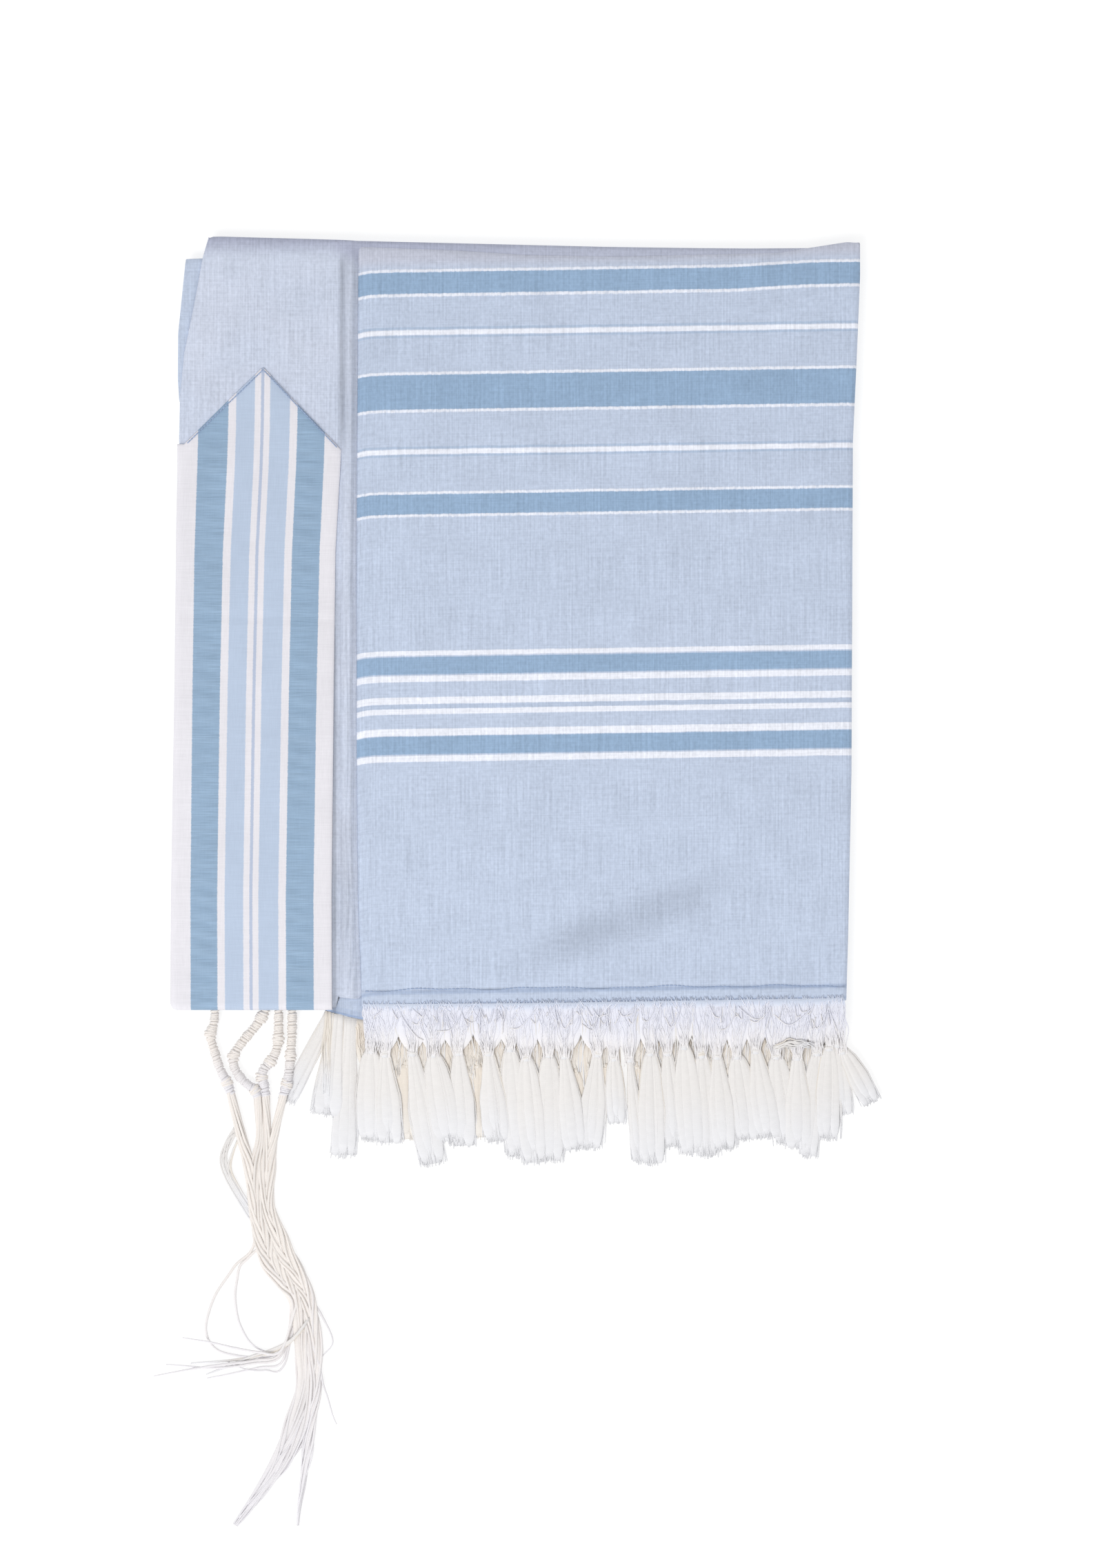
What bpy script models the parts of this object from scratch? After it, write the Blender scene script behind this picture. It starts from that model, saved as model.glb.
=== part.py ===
"""A prayer shawl with a striped neckband, folded flat, with its fringe and its corner tassels.

The shawl lies on its flat underside at z = 0, with its neck fold towards +Y and its fringe and corner tassels
towards -Y. The origin is at the middle of its whole length and width. Tables are in millimetres.
"""

import math

import bmesh
import bpy
import numpy as np
from mathutils import Vector

MM = 0.001

# Heights of the stacked cloth, from the floor up
CORE_TOP = 5.8
SEAM = 0.3
WALL = 1.2
END_WALL = 1.3
BAND_WALL = 1.0
BACK_TOP = CORE_TOP + SEAM + WALL
NECK_TOP = BACK_TOP + SEAM + WALL
END_TOP = NECK_TOP + SEAM + END_WALL
BAND_LIFT = SEAM + BAND_WALL

# Folds that turn down over the layers below, in steps of 30 degrees
STEP = math.radians(30)
QUARTER = 3
NECK_FOLD = NECK_TOP - CORE_TOP - SEAM
BAND_FOLD = NECK_FOLD + BAND_LIFT
END_FOLD = 3.2
SKIRT = END_TOP - END_FOLD - CORE_TOP - SEAM

# Soft rises that all the layers share
WAVE_HEIGHT = 0.4
WAVE_LENGTH = (340.0, 400.0)

# Core: three folded layers that bulge at the edge
CORE_LAYERS = 3
CORE_POINTS = 56
CORE_CURVE_WEIGHT = 25.0  # how many more points the core's outline has where it bends
CORE_BULGE = ((0.0, 1.3), (0.35, 0.2), (0.7, 0.3))  # share of a layer's height, inset
CORE_TOP_INSET = 1.8
CORE_CORNERS = (  # x, y, corner radius
    (-178.0, 375.8, 6.0),
    (-191.0, 362.0, 5.0),
    (-196.0, 292.0, 20.0),
    (-196.3, 209.0, 20.0),
    (-197.2, 110.0, 20.0),
    (-199.6, -71.6, 6.0),
    (-108.0, -71.6, 3.0),
    (-100.0, -65.5, 3.0),
    (191.6, -65.5, 7.0),
    (194.8, 16.0, 20.0),
    (195.6, 160.0, 20.0),
    (196.0, 257.0, 20.0),
    (199.8, 345.0, 10.0),
    (199.8, 367.0, 6.0),
    (146.0, 369.2, 20.0),
    (61.0, 371.2, 20.0),
    (-115.0, 375.2, 20.0),
)

# Back layer: the sliver at the top left, and the hem that shows below the neck stretch
BACK_LEFT = (  # y, x
    (364.0, -192.0),
    (321.0, -196.4),
    (294.0, -196.6),
    (282.0, -195.8),
    (264.0, -191.6),
    (209.0, -192.6),
    (33.0, -194.8),
    (-80.0, -196.2),
)
BACK_RIGHT = ((364.0, 196.6), (257.0, 192.8), (65.0, 192.0), (-80.0, 188.6))  # y, x
BACK_TOP_EDGE = ((0.0, 363.8), (0.06, 364.6), (1.0, 361.0))  # share of the width, y
BACK_HEM = (  # x, y
    (-200.0, -66.5),
    (-102.9, -66.5),
    (-101.9, -76.4),
    (-89.4, -79.2),
    (190.0, -77.6),
)
BACK_DROOP = 0.8
BACK_DROOP_FROM = -66.0
BACK_DROOP_OVER = 9.0

# Neck stretch: flat cloth from the left fold to the valley, then the ridge, then cloth under the striped end
NECK_LEFT = (  # y, x
    (377.5, -178.3),
    (363.8, -182.3),
    (335.3, -187.5),
    (309.5, -192.8),
    (283.8, -195.2),
    (256.1, -195.8),
    (209.4, -196.8),
    (113.0, -197.9),
    (-7.6, -199.9),
    (-72.8, -200.3),
)
VALLEY = ((365.4, -102.4), (265.7, -101.4), (193.4, -103.2), (-63.9, -103.4))  # y, x
RIDGE_END = ((365.4, -92.8), (265.7, -93.8), (113.0, -94.6), (-7.6, -93.6), (-65.0, -91.8))  # y, x
NECK_RIGHT = ((377.5, 196.0), (257.0, 192.4), (65.0, 191.6), (-80.0, 188.0))  # y, x
NECK_TOP_EDGE = ((0.0, 377.5), (1.0, 375.6), (2.0, 375.0), (3.0, 367.6))  # zone, y
NECK_BOTTOM = ((0.0, -72.8), (0.985, -72.8), (1.0, -66.0), (2.0, -67.0), (2.04, -58.0), (3.0, -56.0))  # zone, y
NECK_TURN = ((-80.0, 1.0), (230.0, 1.0), (260.0, 0.0), (380.0, 0.0))  # y, how far the left fold turns down
FOOT_TURN = ((0.0, 1.0), (0.985, 1.0), (1.0, 0.0), (3.0, 0.0))  # zone, how far the bottom fold turns down
RIDGE_HEIGHT = 2.9
RIDGE_PROFILE = (  # share of the ridge's width, share of its height
    (0.0, 0.0),
    (0.12, 0.14),
    (0.28, 0.7),
    (0.44, 0.95),
    (0.6, 1.0),
    (0.75, 0.84),
    (0.88, 0.4),
    (1.0, 0.0),
)
RIDGE_RISE = ((380.0, 0.45), (352.0, 0.8), (300.0, 1.0), (-40.0, 1.0), (-70.0, 0.8))  # y, share of the height

# Striped end: flat cloth from beside the ridge to the right fold, with a turned hem
END_LEFT = ((371.0, -91.2), (209.4, -92.2), (76.8, -92.2), (-7.6, -91.4), (-63.9, -89.4), (-72.0, -89.4))  # y, x
END_RIGHT = (  # y, x
    (376.0, 201.0),
    (354.2, 201.0),
    (305.9, 199.0),
    (257.7, 196.8),
    (161.2, 196.4),
    (64.7, 196.0),
    (-31.8, 194.0),
    (-72.0, 192.8),
)
END_TOP_EDGE = (  # share of the width, y
    (0.0, 371.0),
    (0.19, 369.0),
    (0.34, 365.8),
    (0.52, 365.4),
    (0.85, 367.8),
    (0.96, 374.2),
    (1.0, 374.4),
)
END_HEM_LINE = ((0.0, -62.7), (0.4, -61.1), (0.75, -59.9), (1.0, -59.9))  # share of the width, y
END_HEM_EDGE = ((0.0, -71.6), (0.4, -70.8), (0.75, -69.1), (1.0, -67.9))  # share of the width, y
HEM_RISE = 0.6

# Atarah: the neckband, pointed at its top end, turned down over the left and bottom folds with the neck stretch
BAND_RIGHT = ((252.5, -101.8), (193.4, -105.2), (113.0, -106.2), (-7.6, -107.4), (-74.0, -107.2))  # y, x
BAND_POINT = ((0.0, 255.7), (0.52, 300.7), (1.0, 252.5))  # share of the width, y

# Fringe of the striped end: each tassel gathers threads from the hem into a knot
STRIP_DEPTH = 2.0
LOCKS = 3
FRONT_TASSELS = (  # knot x, knot y, tip x, tip y
    (-84.6, -96.5, -84.2, -151.6),
    (-73.0, -97.7, -74.6, -153.2),
    (-60.5, -97.7, -48.0, -166.0),
    (-48.0, -98.9, -39.2, -152.4),
    (-33.6, -97.7, -30.5, -155.2),
    (-15.9, -97.7, -10.3, -152.4),
    (-3.4, -95.3, 1.8, -161.2),
    (6.2, -100.9, 11.5, -165.2),
    (19.1, -98.9, 21.1, -164.0),
    (28.3, -99.7, 35.4, -157.2),
    (47.6, -98.5, 44.0, -156.4),
    (56.1, -97.7, 59.7, -141.1),
    (63.3, -96.5, 71.0, -164.4),
    (78.6, -97.7, 80.2, -165.6),
    (88.6, -97.7, 93.5, -155.6),
    (98.3, -94.1, 103.4, -159.6),
    (108.7, -98.9, 112.6, -161.2),
    (117.6, -99.7, 122.8, -157.2),
    (129.2, -99.7, 136.1, -151.2),
    (140.1, -96.5, 148.1, -149.9),
    (152.2, -99.7, 159.8, -153.2),
    (176.0, -97.7, 171.0, -161.2),
    (183.1, -94.5, 182.3, -150.8),
    (189.6, -90.4, 192.6, -133.0),
    (196.2, -88.0, 210.9, -127.8),
)
FRONT_DRAPE = (  # y, height of the middle, half thickness
    (-71.0, 9.9, 0.6),
    (-79.0, 8.7, 0.6),
    (-88.0, 6.7, 0.8),
    (-97.0, 4.6, 1.5),
    (-104.0, 3.9, 1.1),
    (-120.0, 3.3, 1.1),
    (-134.0, 2.9, 0.9),
    (-144.0, 1.9, 0.8),
    (-154.0, 1.1, 0.6),
    (-170.0, 0.9, 0.5),
)
# Fringe of the layer below: three tassels that show at the left, and an even row under the front ones
UNDER_LOCKS = 2
UNDER_TASSELS = (  # knot x, knot y, tip x, tip y
    (-114.5, -96.5, -129.0, -127.0),
    (-103.5, -97.5, -111.5, -137.0),
    (-95.0, -98.5, -99.5, -160.5),
)
UNDER_ROW = dict(first=-86.0, last=172.0, count=18, knot=-99.0, tip=-129.0, lean=2.5)
UNDER_GAP = (52.0, 70.0)
UNDER_DRAPE = (  # y, height of the middle, half thickness
    (-74.0, 5.9, 0.5),
    (-80.0, 5.4, 0.5),
    (-85.0, 4.2, 0.5),
    (-92.0, 2.4, 0.5),
    (-99.0, 1.1, 0.6),
    (-165.0, 0.95, 0.5),
)
KNOT_HALF = 1.7
FAN_SHARE = 0.62
LOCK_HALF = 4.4
TIP_HALF = 3.6
NEAR_SHARE = 0.46
LOCK_FILL = 0.88
ROOT_GAP = 0.9
LEAST_ROOT = 3.0
FAN = (0.06, 0.5, 0.88, 1.0)  # shares of the way from the strip to the knot
LOCK = ((0.08, 1.0), (0.4, 0.8), (0.75, 0.8), (1.0, 0.7))  # share of the way to the tip, share of the thickness
KNOT_EDGE = 1.15
RAGGED = 0.05
NEAR_KNOT = 0.01

# Corner tassels: knotted and wound heads, then eight strings each
HEAD_SIDES = 8
HEAD_HEIGHT = 3.4
HEADS = {  # x, y, radius
    "a": (
        (-175.5, -73.2, 2.3),
        (-176.3, -81.6, 2.4),
        (-178.5, -88.4, 3.0),
        (-177.6, -92.6, 2.4),
        (-175.2, -101.0, 2.6),
        (-172.6, -109.0, 2.4),
        (-168.6, -117.0, 2.7),
        (-165.8, -126.0, 2.3),
        (-163.2, -136.0, 2.5),
        (-160.6, -147.9, 2.3),
    ),
    "b": (
        (-146.4, -73.2, 2.3),
        (-148.6, -78.6, 3.0),
        (-152.2, -84.0, 2.3),
        (-157.4, -90.0, 2.6),
        (-162.2, -96.2, 2.4),
        (-165.0, -101.2, 3.0),
        (-164.6, -107.0, 2.4),
        (-161.6, -112.6, 2.5),
        (-157.0, -117.0, 2.4),
        (-152.8, -122.4, 2.6),
        (-151.4, -132.0, 2.3),
        (-151.6, -147.9, 2.3),
    ),
    "c": (
        (-138.6, -73.2, 2.3),
        (-138.5, -84.0, 2.6),
        (-138.7, -91.0, 3.0),
        (-140.0, -98.2, 2.4),
        (-143.2, -104.2, 3.0),
        (-147.0, -109.0, 2.6),
        (-148.4, -113.0, 2.9),
        (-146.6, -121.0, 2.4),
        (-145.9, -134.0, 2.4),
        (-146.3, -147.9, 2.3),
    ),
    "d": (
        (-130.6, -73.2, 2.3),
        (-130.6, -84.0, 2.6),
        (-131.0, -93.0, 2.4),
        (-131.6, -101.0, 2.9),
        (-132.4, -109.4, 2.4),
        (-133.8, -117.4, 2.9),
        (-136.2, -126.0, 2.4),
        (-138.6, -136.0, 2.4),
        (-141.0, -147.9, 2.3),
    ),
}
STRINGS = (  # x and y of the bundle's middle, distance between cords
    (-150.0, -150.4, 6.0),
    (-149.8, -166.0, 4.9),
    (-148.3, -189.0, 4.3),
    (-143.6, -207.0, 4.7),
    (-139.4, -219.0, 4.9),
    (-131.4, -232.0, 4.6),
    (-125.0, -245.0, 4.4),
    (-121.8, -268.0, 4.3),
    (-121.0, -293.0, 4.1),
    (-126.4, -318.0, 4.1),
)
LEFT_END = ((-137.6, -337.0), (-150.5, -356.5), (-162.6, -373.6))  # x, y
RIGHT_END = ((-122.2, -337.0), (-125.6, -358.0), (-127.8, -374.5))  # x, y
END_SPACING = 4.0
STRING_RING = ((1, 0), (1, 1), (0, 1), (-1, 1), (-1, 0), (-1, -1), (0, -1), (1, -1))
STRING_HALF = 0.55
FIRST_SPREAD = 1.4
FIRST_DROP = 0.6
STRING_ROWS = 1.5
STRING_LOW = 0.85
STRING_ENDS = (0, 2, 1, 1, 2, 1, 1, 0)  # stations that a string stops short of the end, by its place in the ring
LOOSE = {  # cord, place in the ring: (last station in the bundle, height, x and y of the rest)
    ("a", 4): (4, 0.9, ((-157.5, -221.0), (-165.5, -229.0), (-163.8, -249.0), (-159.0, -262.0), (-150.0, -270.5))),
    ("a", 5): (
        3,
        0.9,
        ((-157.0, -213.0), (-168.0, -226.0), (-178.0, -245.0), (-181.1, -261.7), (-175.5, -272.0), (-166.0, -275.0)),
    ),
    ("a", 3): (7, 3.0, ((-137.0, -274.5), (-152.0, -279.0), (-172.0, -281.5), (-192.0, -284.5), (-211.6, -288.2))),
    ("a", 2): (7, 4.8, ((-137.5, -273.0), (-150.0, -274.0), (-164.0, -271.5), (-180.0, -268.0), (-194.6, -265.6))),
    ("a", 6): (7, 0.9, ((-136.0, -279.0), (-150.0, -283.5), (-166.0, -287.0), (-180.7, -289.8))),
    ("d", 1): (8, 2.4, ((-110.5, -300.0), (-107.6, -309.0), (-104.3, -316.4))),
}


def reader(table):
    """A function that reads a table's second column between its rows."""
    rows = sorted(table)
    keys = [row[0] for row in rows]
    values = [row[1] for row in rows]
    return lambda key: float(np.interp(key, keys, values))


def mix(a, b, share):
    """The value that share of the way from a to b."""
    return a + (b - a) * share


def wave(x, y):
    """The soft rise that the layers share at a place."""
    ripple = math.sin(x / WAVE_LENGTH[0] * math.tau + 0.6) * math.sin(y / WAVE_LENGTH[1] * math.tau)
    return WAVE_HEIGHT * (0.5 + 0.5 * ripple)


def turned(x, y, z, across, along, radius, ease):
    """A point that lies so many steps of turn beyond the flat point, round folds of that radius."""
    turn = max(abs(across), abs(along))
    if not turn:
        return Vector((x, y, z))
    away = Vector((across, along, 0)).normalized()
    angle = min(turn, QUARTER) * STEP
    drop = radius * (1 - math.cos(angle)) * ease
    if turn > QUARTER:
        drop += SKIRT
    return Vector((x, y, z - drop)) + away * radius * math.sin(angle)


def finish(name, bm, colour, roughness):
    """Makes the mesh an object of the shawl's collection, with its own material."""
    bmesh.ops.recalc_face_normals(bm, faces=bm.faces)
    bmesh.ops.scale(bm, vec=(MM, MM, MM), verts=bm.verts)
    for label in ("across", "up"):
        layer = bm.verts.layers.float.get(label)
        if layer:
            bm.verts.layers.float.remove(layer)
    mesh = bpy.data.meshes.new(name)
    bm.to_mesh(mesh)
    bm.free()
    material = bpy.data.materials.new(name)
    material.use_nodes = True
    shader = material.node_tree.nodes["Principled BSDF"]
    shader.inputs["Base Color"].default_value = (*colour, 1)
    shader.inputs["Roughness"].default_value = roughness
    shader.inputs["Metallic"].default_value = 0
    mesh.materials.append(material)
    piece = bpy.data.objects.new(name, mesh)
    shawl.objects.link(piece)
    return piece


def cloth_wall(name, columns, rows, place, wall, colour):
    """A wall of cloth whose upper face is a grid, with each point where place puts it."""
    bm = bmesh.new()
    bmesh.ops.create_grid(bm, x_segments=len(columns) - 1, y_segments=len(rows) - 1, size=1)
    for vert in bm.verts:
        column = columns[round((vert.co.x + 1) / 2 * (len(columns) - 1))]
        row = rows[round((vert.co.y + 1) / 2 * (len(rows) - 1))]
        vert.co = place(column, row)
    piece = finish(name, bm, colour, 0.85)
    for polygon in piece.data.polygons:
        polygon.use_smooth = True
    thick = piece.modifiers.new("thickness", "SOLIDIFY")
    thick.thickness = wall * MM
    thick.offset = -1
    return piece


def rounded_outline(corners, count):
    """A closed ring of count points round the corners, each corner cut to a curve of its radius."""
    points = [Vector((x, y)) for x, y, _ in corners]
    path = []
    for i, (point, corner) in enumerate(zip(points, corners)):
        before = (points[i - 1] - point).normalized() * corner[2]
        after = (points[(i + 1) % len(points)] - point).normalized() * corner[2]
        for share in (0, 0.25, 0.5, 0.75, 1):
            start, end = point + before * (1 - share), point + after * share
            path.append(mix(start, end, share))
    path = [p for p, q in zip(path, path[1:] + path[:1]) if (q - p).length > 1e-6]
    sharp = [(b - a).angle(c - b) for a, b, c in zip(path[-1:] + path[:-1], path, path[1:] + path[:1])]
    steps = [(q - p).length + CORE_CURVE_WEIGHT * (turn + sharp[(i + 1) % len(path)]) / 2
             for i, (p, q, turn) in enumerate(zip(path, path[1:] + path[:1], sharp))]
    reached = np.concatenate(([0], np.cumsum(steps)))
    wanted = np.linspace(0, reached[-1], count, endpoint=False)
    ring_x = np.interp(wanted, reached, [p.x for p in path + path[:1]])
    ring_y = np.interp(wanted, reached, [p.y for p in path + path[:1]])
    return [Vector(pair) for pair in zip(ring_x, ring_y)]


def inset_ring(ring, inset):
    """The ring moved inwards. The ring runs anticlockwise."""
    moved = []
    for before, point, after in zip(ring[-1:] + ring[:-1], ring, ring[1:] + ring[:1]):
        run = (after - before).normalized()
        moved.append(point + Vector((-run.y, run.x)) * inset)
    return moved


def section_layers(bm):
    """Where each point lies in its cross section: across it and up it, from -1 to 1."""
    across = bm.verts.layers.float.get("across") or bm.verts.layers.float.new("across")
    up = bm.verts.layers.float.get("up") or bm.verts.layers.float.new("up")
    return across, up


def mark(bm, face, side):
    """Notes where each corner of a face lies in its cross section."""
    across, up = section_layers(bm)
    centre = face.calc_center_median()
    offsets = [((v.co - centre).dot(side), v.co.z - centre.z) for v in face.verts]
    widest = max(abs(a) for a, _ in offsets)
    tallest = max(abs(b) for _, b in offsets)
    for vert, (a, b) in zip(face.verts, offsets):
        vert[across] = a / widest
        vert[up] = b / tallest


def grow(bm, face, stations):
    """Draws a face out through stations of (centre, side, half width, half height), and returns the last face."""
    across, up = section_layers(bm)
    for centre, side, half_width, half_height in stations:
        face = bmesh.ops.extrude_discrete_faces(bm, faces=[face])["faces"][0]
        for vert in face.verts:
            vert.co = centre + side * vert[across] * half_width
            vert.co.z += vert[up] * half_height
    return face


def make_core():
    """The hidden folded layers: one rounded solid with a flat underside and a bulge for each layer."""
    outline = rounded_outline(CORE_CORNERS, CORE_POINTS)
    layer = CORE_TOP / CORE_LAYERS
    levels = [((n + share) * layer, inset) for n in range(CORE_LAYERS) for share, inset in CORE_BULGE]
    levels.append((CORE_TOP, CORE_TOP_INSET))
    bm = bmesh.new()
    bmesh.ops.create_cone(bm, cap_ends=True, segments=CORE_POINTS, radius1=1, radius2=1, depth=2)
    place = bm.verts.layers.int.new("place")
    for vert in bm.verts:
        vert[place] = round(math.atan2(vert.co.y, vert.co.x) / math.tau * CORE_POINTS) % CORE_POINTS
    bottom = [v for v in bm.verts if v.co.z < 0]
    top = max(bm.faces, key=lambda f: f.calc_center_median().z)

    def set_ring(verts, level):
        height, inset = level
        ring = inset_ring(outline, inset)
        for vert in verts:
            vert.co = (*ring[vert[place]], height)

    set_ring(top.verts, levels[1])
    set_ring(bottom, levels[0])
    for level in levels[2:]:
        top = bmesh.ops.extrude_discrete_faces(bm, faces=[top])["faces"][0]
        set_ring(top.verts, level)
    bm.verts.layers.int.remove(place)
    finish("core_layers", bm, (0.52, 0.6, 0.74), 0.85)


def make_back_layer():
    """The second layer, which shows at the top left and as a hem at the bottom left."""
    left, right = reader(BACK_LEFT), reader(BACK_RIGHT)
    top, hem = reader(BACK_TOP_EDGE), reader(BACK_HEM)
    low = BACK_HEM[0][1]

    def place(share, rise):
        x = mix(left(low), right(low), share)
        y = mix(hem(x), top(share), rise)
        x = mix(left(y), right(y), share)
        droop = BACK_DROOP * min(1, max(0, (BACK_DROOP_FROM - y) / BACK_DROOP_OVER))
        return Vector((x, y, BACK_TOP + wave(x, y) - droop))

    columns = [0, 0.012, 0.08, 0.16, 0.2415, 0.2448, 0.275, 0.36, 0.48, 0.6, 0.74, 0.87, 1]
    rows = [0, 0.014, 0.03, 0.12, 0.26, 0.4, 0.54, 0.68, 0.775, 0.8, 0.86, 0.92, 1]
    cloth_wall("back_layer", columns, rows, place, WALL, (0.56, 0.62, 0.77))


def neck_lines(zone, rise):
    """The flat point of the neck stretch at a zone across it and a share of its height, on its upper face."""
    top, bottom = reader(NECK_TOP_EDGE), reader(NECK_BOTTOM)
    y = mix(bottom(zone) + NECK_FOLD, top(zone) - NECK_FOLD, rise)
    lines = (reader(NECK_LEFT)(y) + NECK_FOLD, reader(VALLEY)(y), reader(RIDGE_END)(y), reader(NECK_RIGHT)(y))
    x = float(np.interp(zone, range(4), lines))
    ridge = RIDGE_HEIGHT * reader(RIDGE_RISE)(y) * reader(RIDGE_PROFILE)(zone - 1)
    return x, y, NECK_TOP + wave(x, y) + ridge


def fold_ease(zone, y, across, along):
    """How far the neck stretch turns down at a place on its folds."""
    if not across and not along:
        return 1
    side_share = across * across / (across * across + along * along)
    foot = reader(FOOT_TURN)(zone) if along < 0 else 1
    return mix(foot, reader(NECK_TURN)(y), side_share)


def make_neck_stretch():
    """The cloth that the neckband is sewn to, with the raised ridge beside the striped end."""
    ridge = [(1 + share, 0) for share, _ in RIDGE_PROFILE]
    columns = [(0, -turn) for turn in range(QUARTER, 0, -1)]
    columns += [(zone, 0) for zone in (0, 0.25, 0.5, 0.75, 0.93, 0.985)] + ridge
    columns += [(zone, 0) for zone in (2.04, 2.25, 2.5, 2.75, 3)]
    rows = [(0, -turn) for turn in range(QUARTER, 0, -1)]
    rows += [(rise, 0) for rise in (0, 0.03, 0.1, 0.24, 0.38, 0.52, 0.66, 0.705, 0.775, 0.85, 0.94, 1)]
    rows += [(1, turn) for turn in range(1, QUARTER + 1)]

    def place(column, row):
        zone, across = column
        rise, along = row
        x, y, z = neck_lines(zone, rise)
        return turned(x, y, z, across, along, NECK_FOLD, fold_ease(zone, y, across, along))

    cloth_wall("neck_stretch", columns, rows, place, WALL, (0.64, 0.67, 0.81))


def make_atarah():
    """The neckband: the neck stretch's own points, moved out, from its point at the top to the bottom fold."""
    right, point = reader(BAND_RIGHT), reader(BAND_POINT)
    columns = [(0, -turn) for turn in range(QUARTER, 0, -1)]
    columns += [(share, 0) for share in (0, 0.26, 0.52, 0.76, 1)]
    rows = [(0, -turn) for turn in range(QUARTER, 0, -1)]
    rows += [(rise, 0) for rise in (0, 0.04, 0.2, 0.4, 0.6, 0.8, 0.9, 1)]

    def place(column, row):
        share, across = column
        rise, along = row
        y = mix(NECK_BOTTOM[0][1] + NECK_FOLD, point(share), rise)
        x = mix(reader(NECK_LEFT)(y) + NECK_FOLD, right(y), share)
        z = NECK_TOP + wave(x, y) + BAND_LIFT
        return turned(x, y, z, across, along, BAND_FOLD, fold_ease(0, y, across, along))

    cloth_wall("atarah", columns, rows, place, BAND_WALL, (0.42, 0.55, 0.72))


def make_striped_end():
    """The end panel with its turned hem, folded down over the right side of the pile."""
    left, right, top = reader(END_LEFT), reader(END_RIGHT), reader(END_TOP_EDGE)
    hem_line, hem_edge = reader(END_HEM_LINE), reader(END_HEM_EDGE)
    columns = [(share, 0) for share in (0, 0.19, 0.34, 0.52, 0.7, 0.85, 0.96, 1)]
    columns += [(1, turn) for turn in range(1, QUARTER + 2)]
    rows = [-1, -0.12, 0.004, 0.1, 0.22, 0.34, 0.46, 0.58, 0.7, 0.82, 0.92, 0.99, 1]

    def place(column, rise):
        share, across = column
        if rise < 0:
            y = mix(hem_line(share), hem_edge(share), -rise)
        else:
            y = mix(hem_line(share), top(share), rise)
        x = mix(left(y), right(y) - END_FOLD, share)
        z = END_TOP + wave(x, y) + (HEM_RISE if rise < 0 else 0)
        return turned(x, y, z, across, 0, END_FOLD, 1)

    cloth_wall("striped_end", columns, rows, place, END_WALL, (0.54, 0.63, 0.77))


def make_fringe(name, tassels, hem, drape, locks, colour):
    """A strip along a hem with a tassel for each row: a fan of threads, its knot, and locks that stand apart."""
    height = reader([(y, z) for y, z, _ in drape])
    thick = reader([(y, half) for y, _, half in drape])
    knots = [row[0] for row in tassels]
    bounds = [mix(a, b, 0.5) for a, b in zip(knots, knots[1:])]
    bounds = [min(max(bound, hem[0][0]), hem[-1][0]) for bound in [hem[0][0]] + bounds + [hem[-1][0]]]
    for i in range(1, len(bounds)):
        bounds[i] = max(bounds[i], bounds[i - 1] + LEAST_ROOT)
    edge = reader(hem)
    side = Vector((1, 0, 0))

    bm = bmesh.new()
    section_layers(bm)
    bmesh.ops.create_grid(bm, x_segments=len(tassels), y_segments=1, size=1)
    for vert in bm.verts:
        x = bounds[round((vert.co.x + 1) / 2 * len(tassels))]
        y = edge(x) - SEAM - STRIP_DEPTH
        vert.co = (x, y, height(y) + thick(y) * (1 if vert.co.y > 0 else -1))
    fronts = sorted(bm.faces, key=lambda f: f.calc_center_median().x)
    back = bmesh.ops.extrude_face_region(bm, geom=fronts, use_keep_orig=True)["geom"]
    for vert in [g for g in back if isinstance(g, bmesh.types.BMVert)]:
        vert.co.y += STRIP_DEPTH

    def near(n, column):
        gaps = [abs(tassels[m][column] - tassels[n][column]) for m in (n - 1, n + 1) if 0 <= m < len(tassels)]
        return NEAR_SHARE * min(gaps)

    for n, (face, (knot_x, knot_y, tip_x, tip_y)) in enumerate(zip(fronts, tassels)):
        root = face.calc_center_median()
        root_half = (bounds[n + 1] - bounds[n]) / 2
        knot_half = min(KNOT_HALF, near(n, 0))
        stations = []
        fan = (root_half - ROOT_GAP, mix(root_half, knot_half, FAN_SHARE), knot_half, knot_half * KNOT_EDGE)
        for share, half in zip(FAN, fan):
            y = mix(root.y, knot_y, share)
            x = mix(root.x, knot_x, share)
            stations.append((Vector((x, y, height(y))), side, half, thick(y)))
        mark(bm, face, side)
        knot = grow(bm, face, stations)
        cuts = [e for e in knot.edges if abs((e.verts[0].co - e.verts[1].co).dot(side)) > knot_half]
        bmesh.ops.subdivide_edges(bm, edges=cuts, cuts=locks - 1)
        at_knot = Vector((knot_x, knot_y, height(knot_y)))
        ends = [f for f in bm.faces if abs(f.calc_center_median().y - knot_y) < NEAR_KNOT
                and (f.calc_center_median() - at_knot).length < knot_half * KNOT_EDGE]
        ends.sort(key=lambda f: f.calc_center_median().x)
        spread = min(LOCK_HALF, near(n, 0), near(n, 2))
        tip_spread = min(TIP_HALF, near(n, 2))
        run = Vector((tip_x - knot_x, tip_y - knot_y, 0)).normalized()
        lock_side = Vector((-run.y, run.x, 0))
        for k, end in enumerate(ends):
            place = (2 * k + 1) / locks - 1
            mark(bm, end, side)
            lock = []
            for (share, thin), half in zip(LOCK, (knot_half * KNOT_EDGE, spread, spread, tip_spread)):
                short = share * (1 - RAGGED * ((n + k) % 3))
                y = mix(knot_y, tip_y, short)
                centre = Vector((mix(knot_x, tip_x, short), y, 0)) + lock_side * place * half
                centre.z = height(y)
                lock.append((centre, lock_side, half / locks * LOCK_FILL, thick(y) * thin))
            grow(bm, end, lock)
    finish(name, bm, colour, 0.9)


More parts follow.
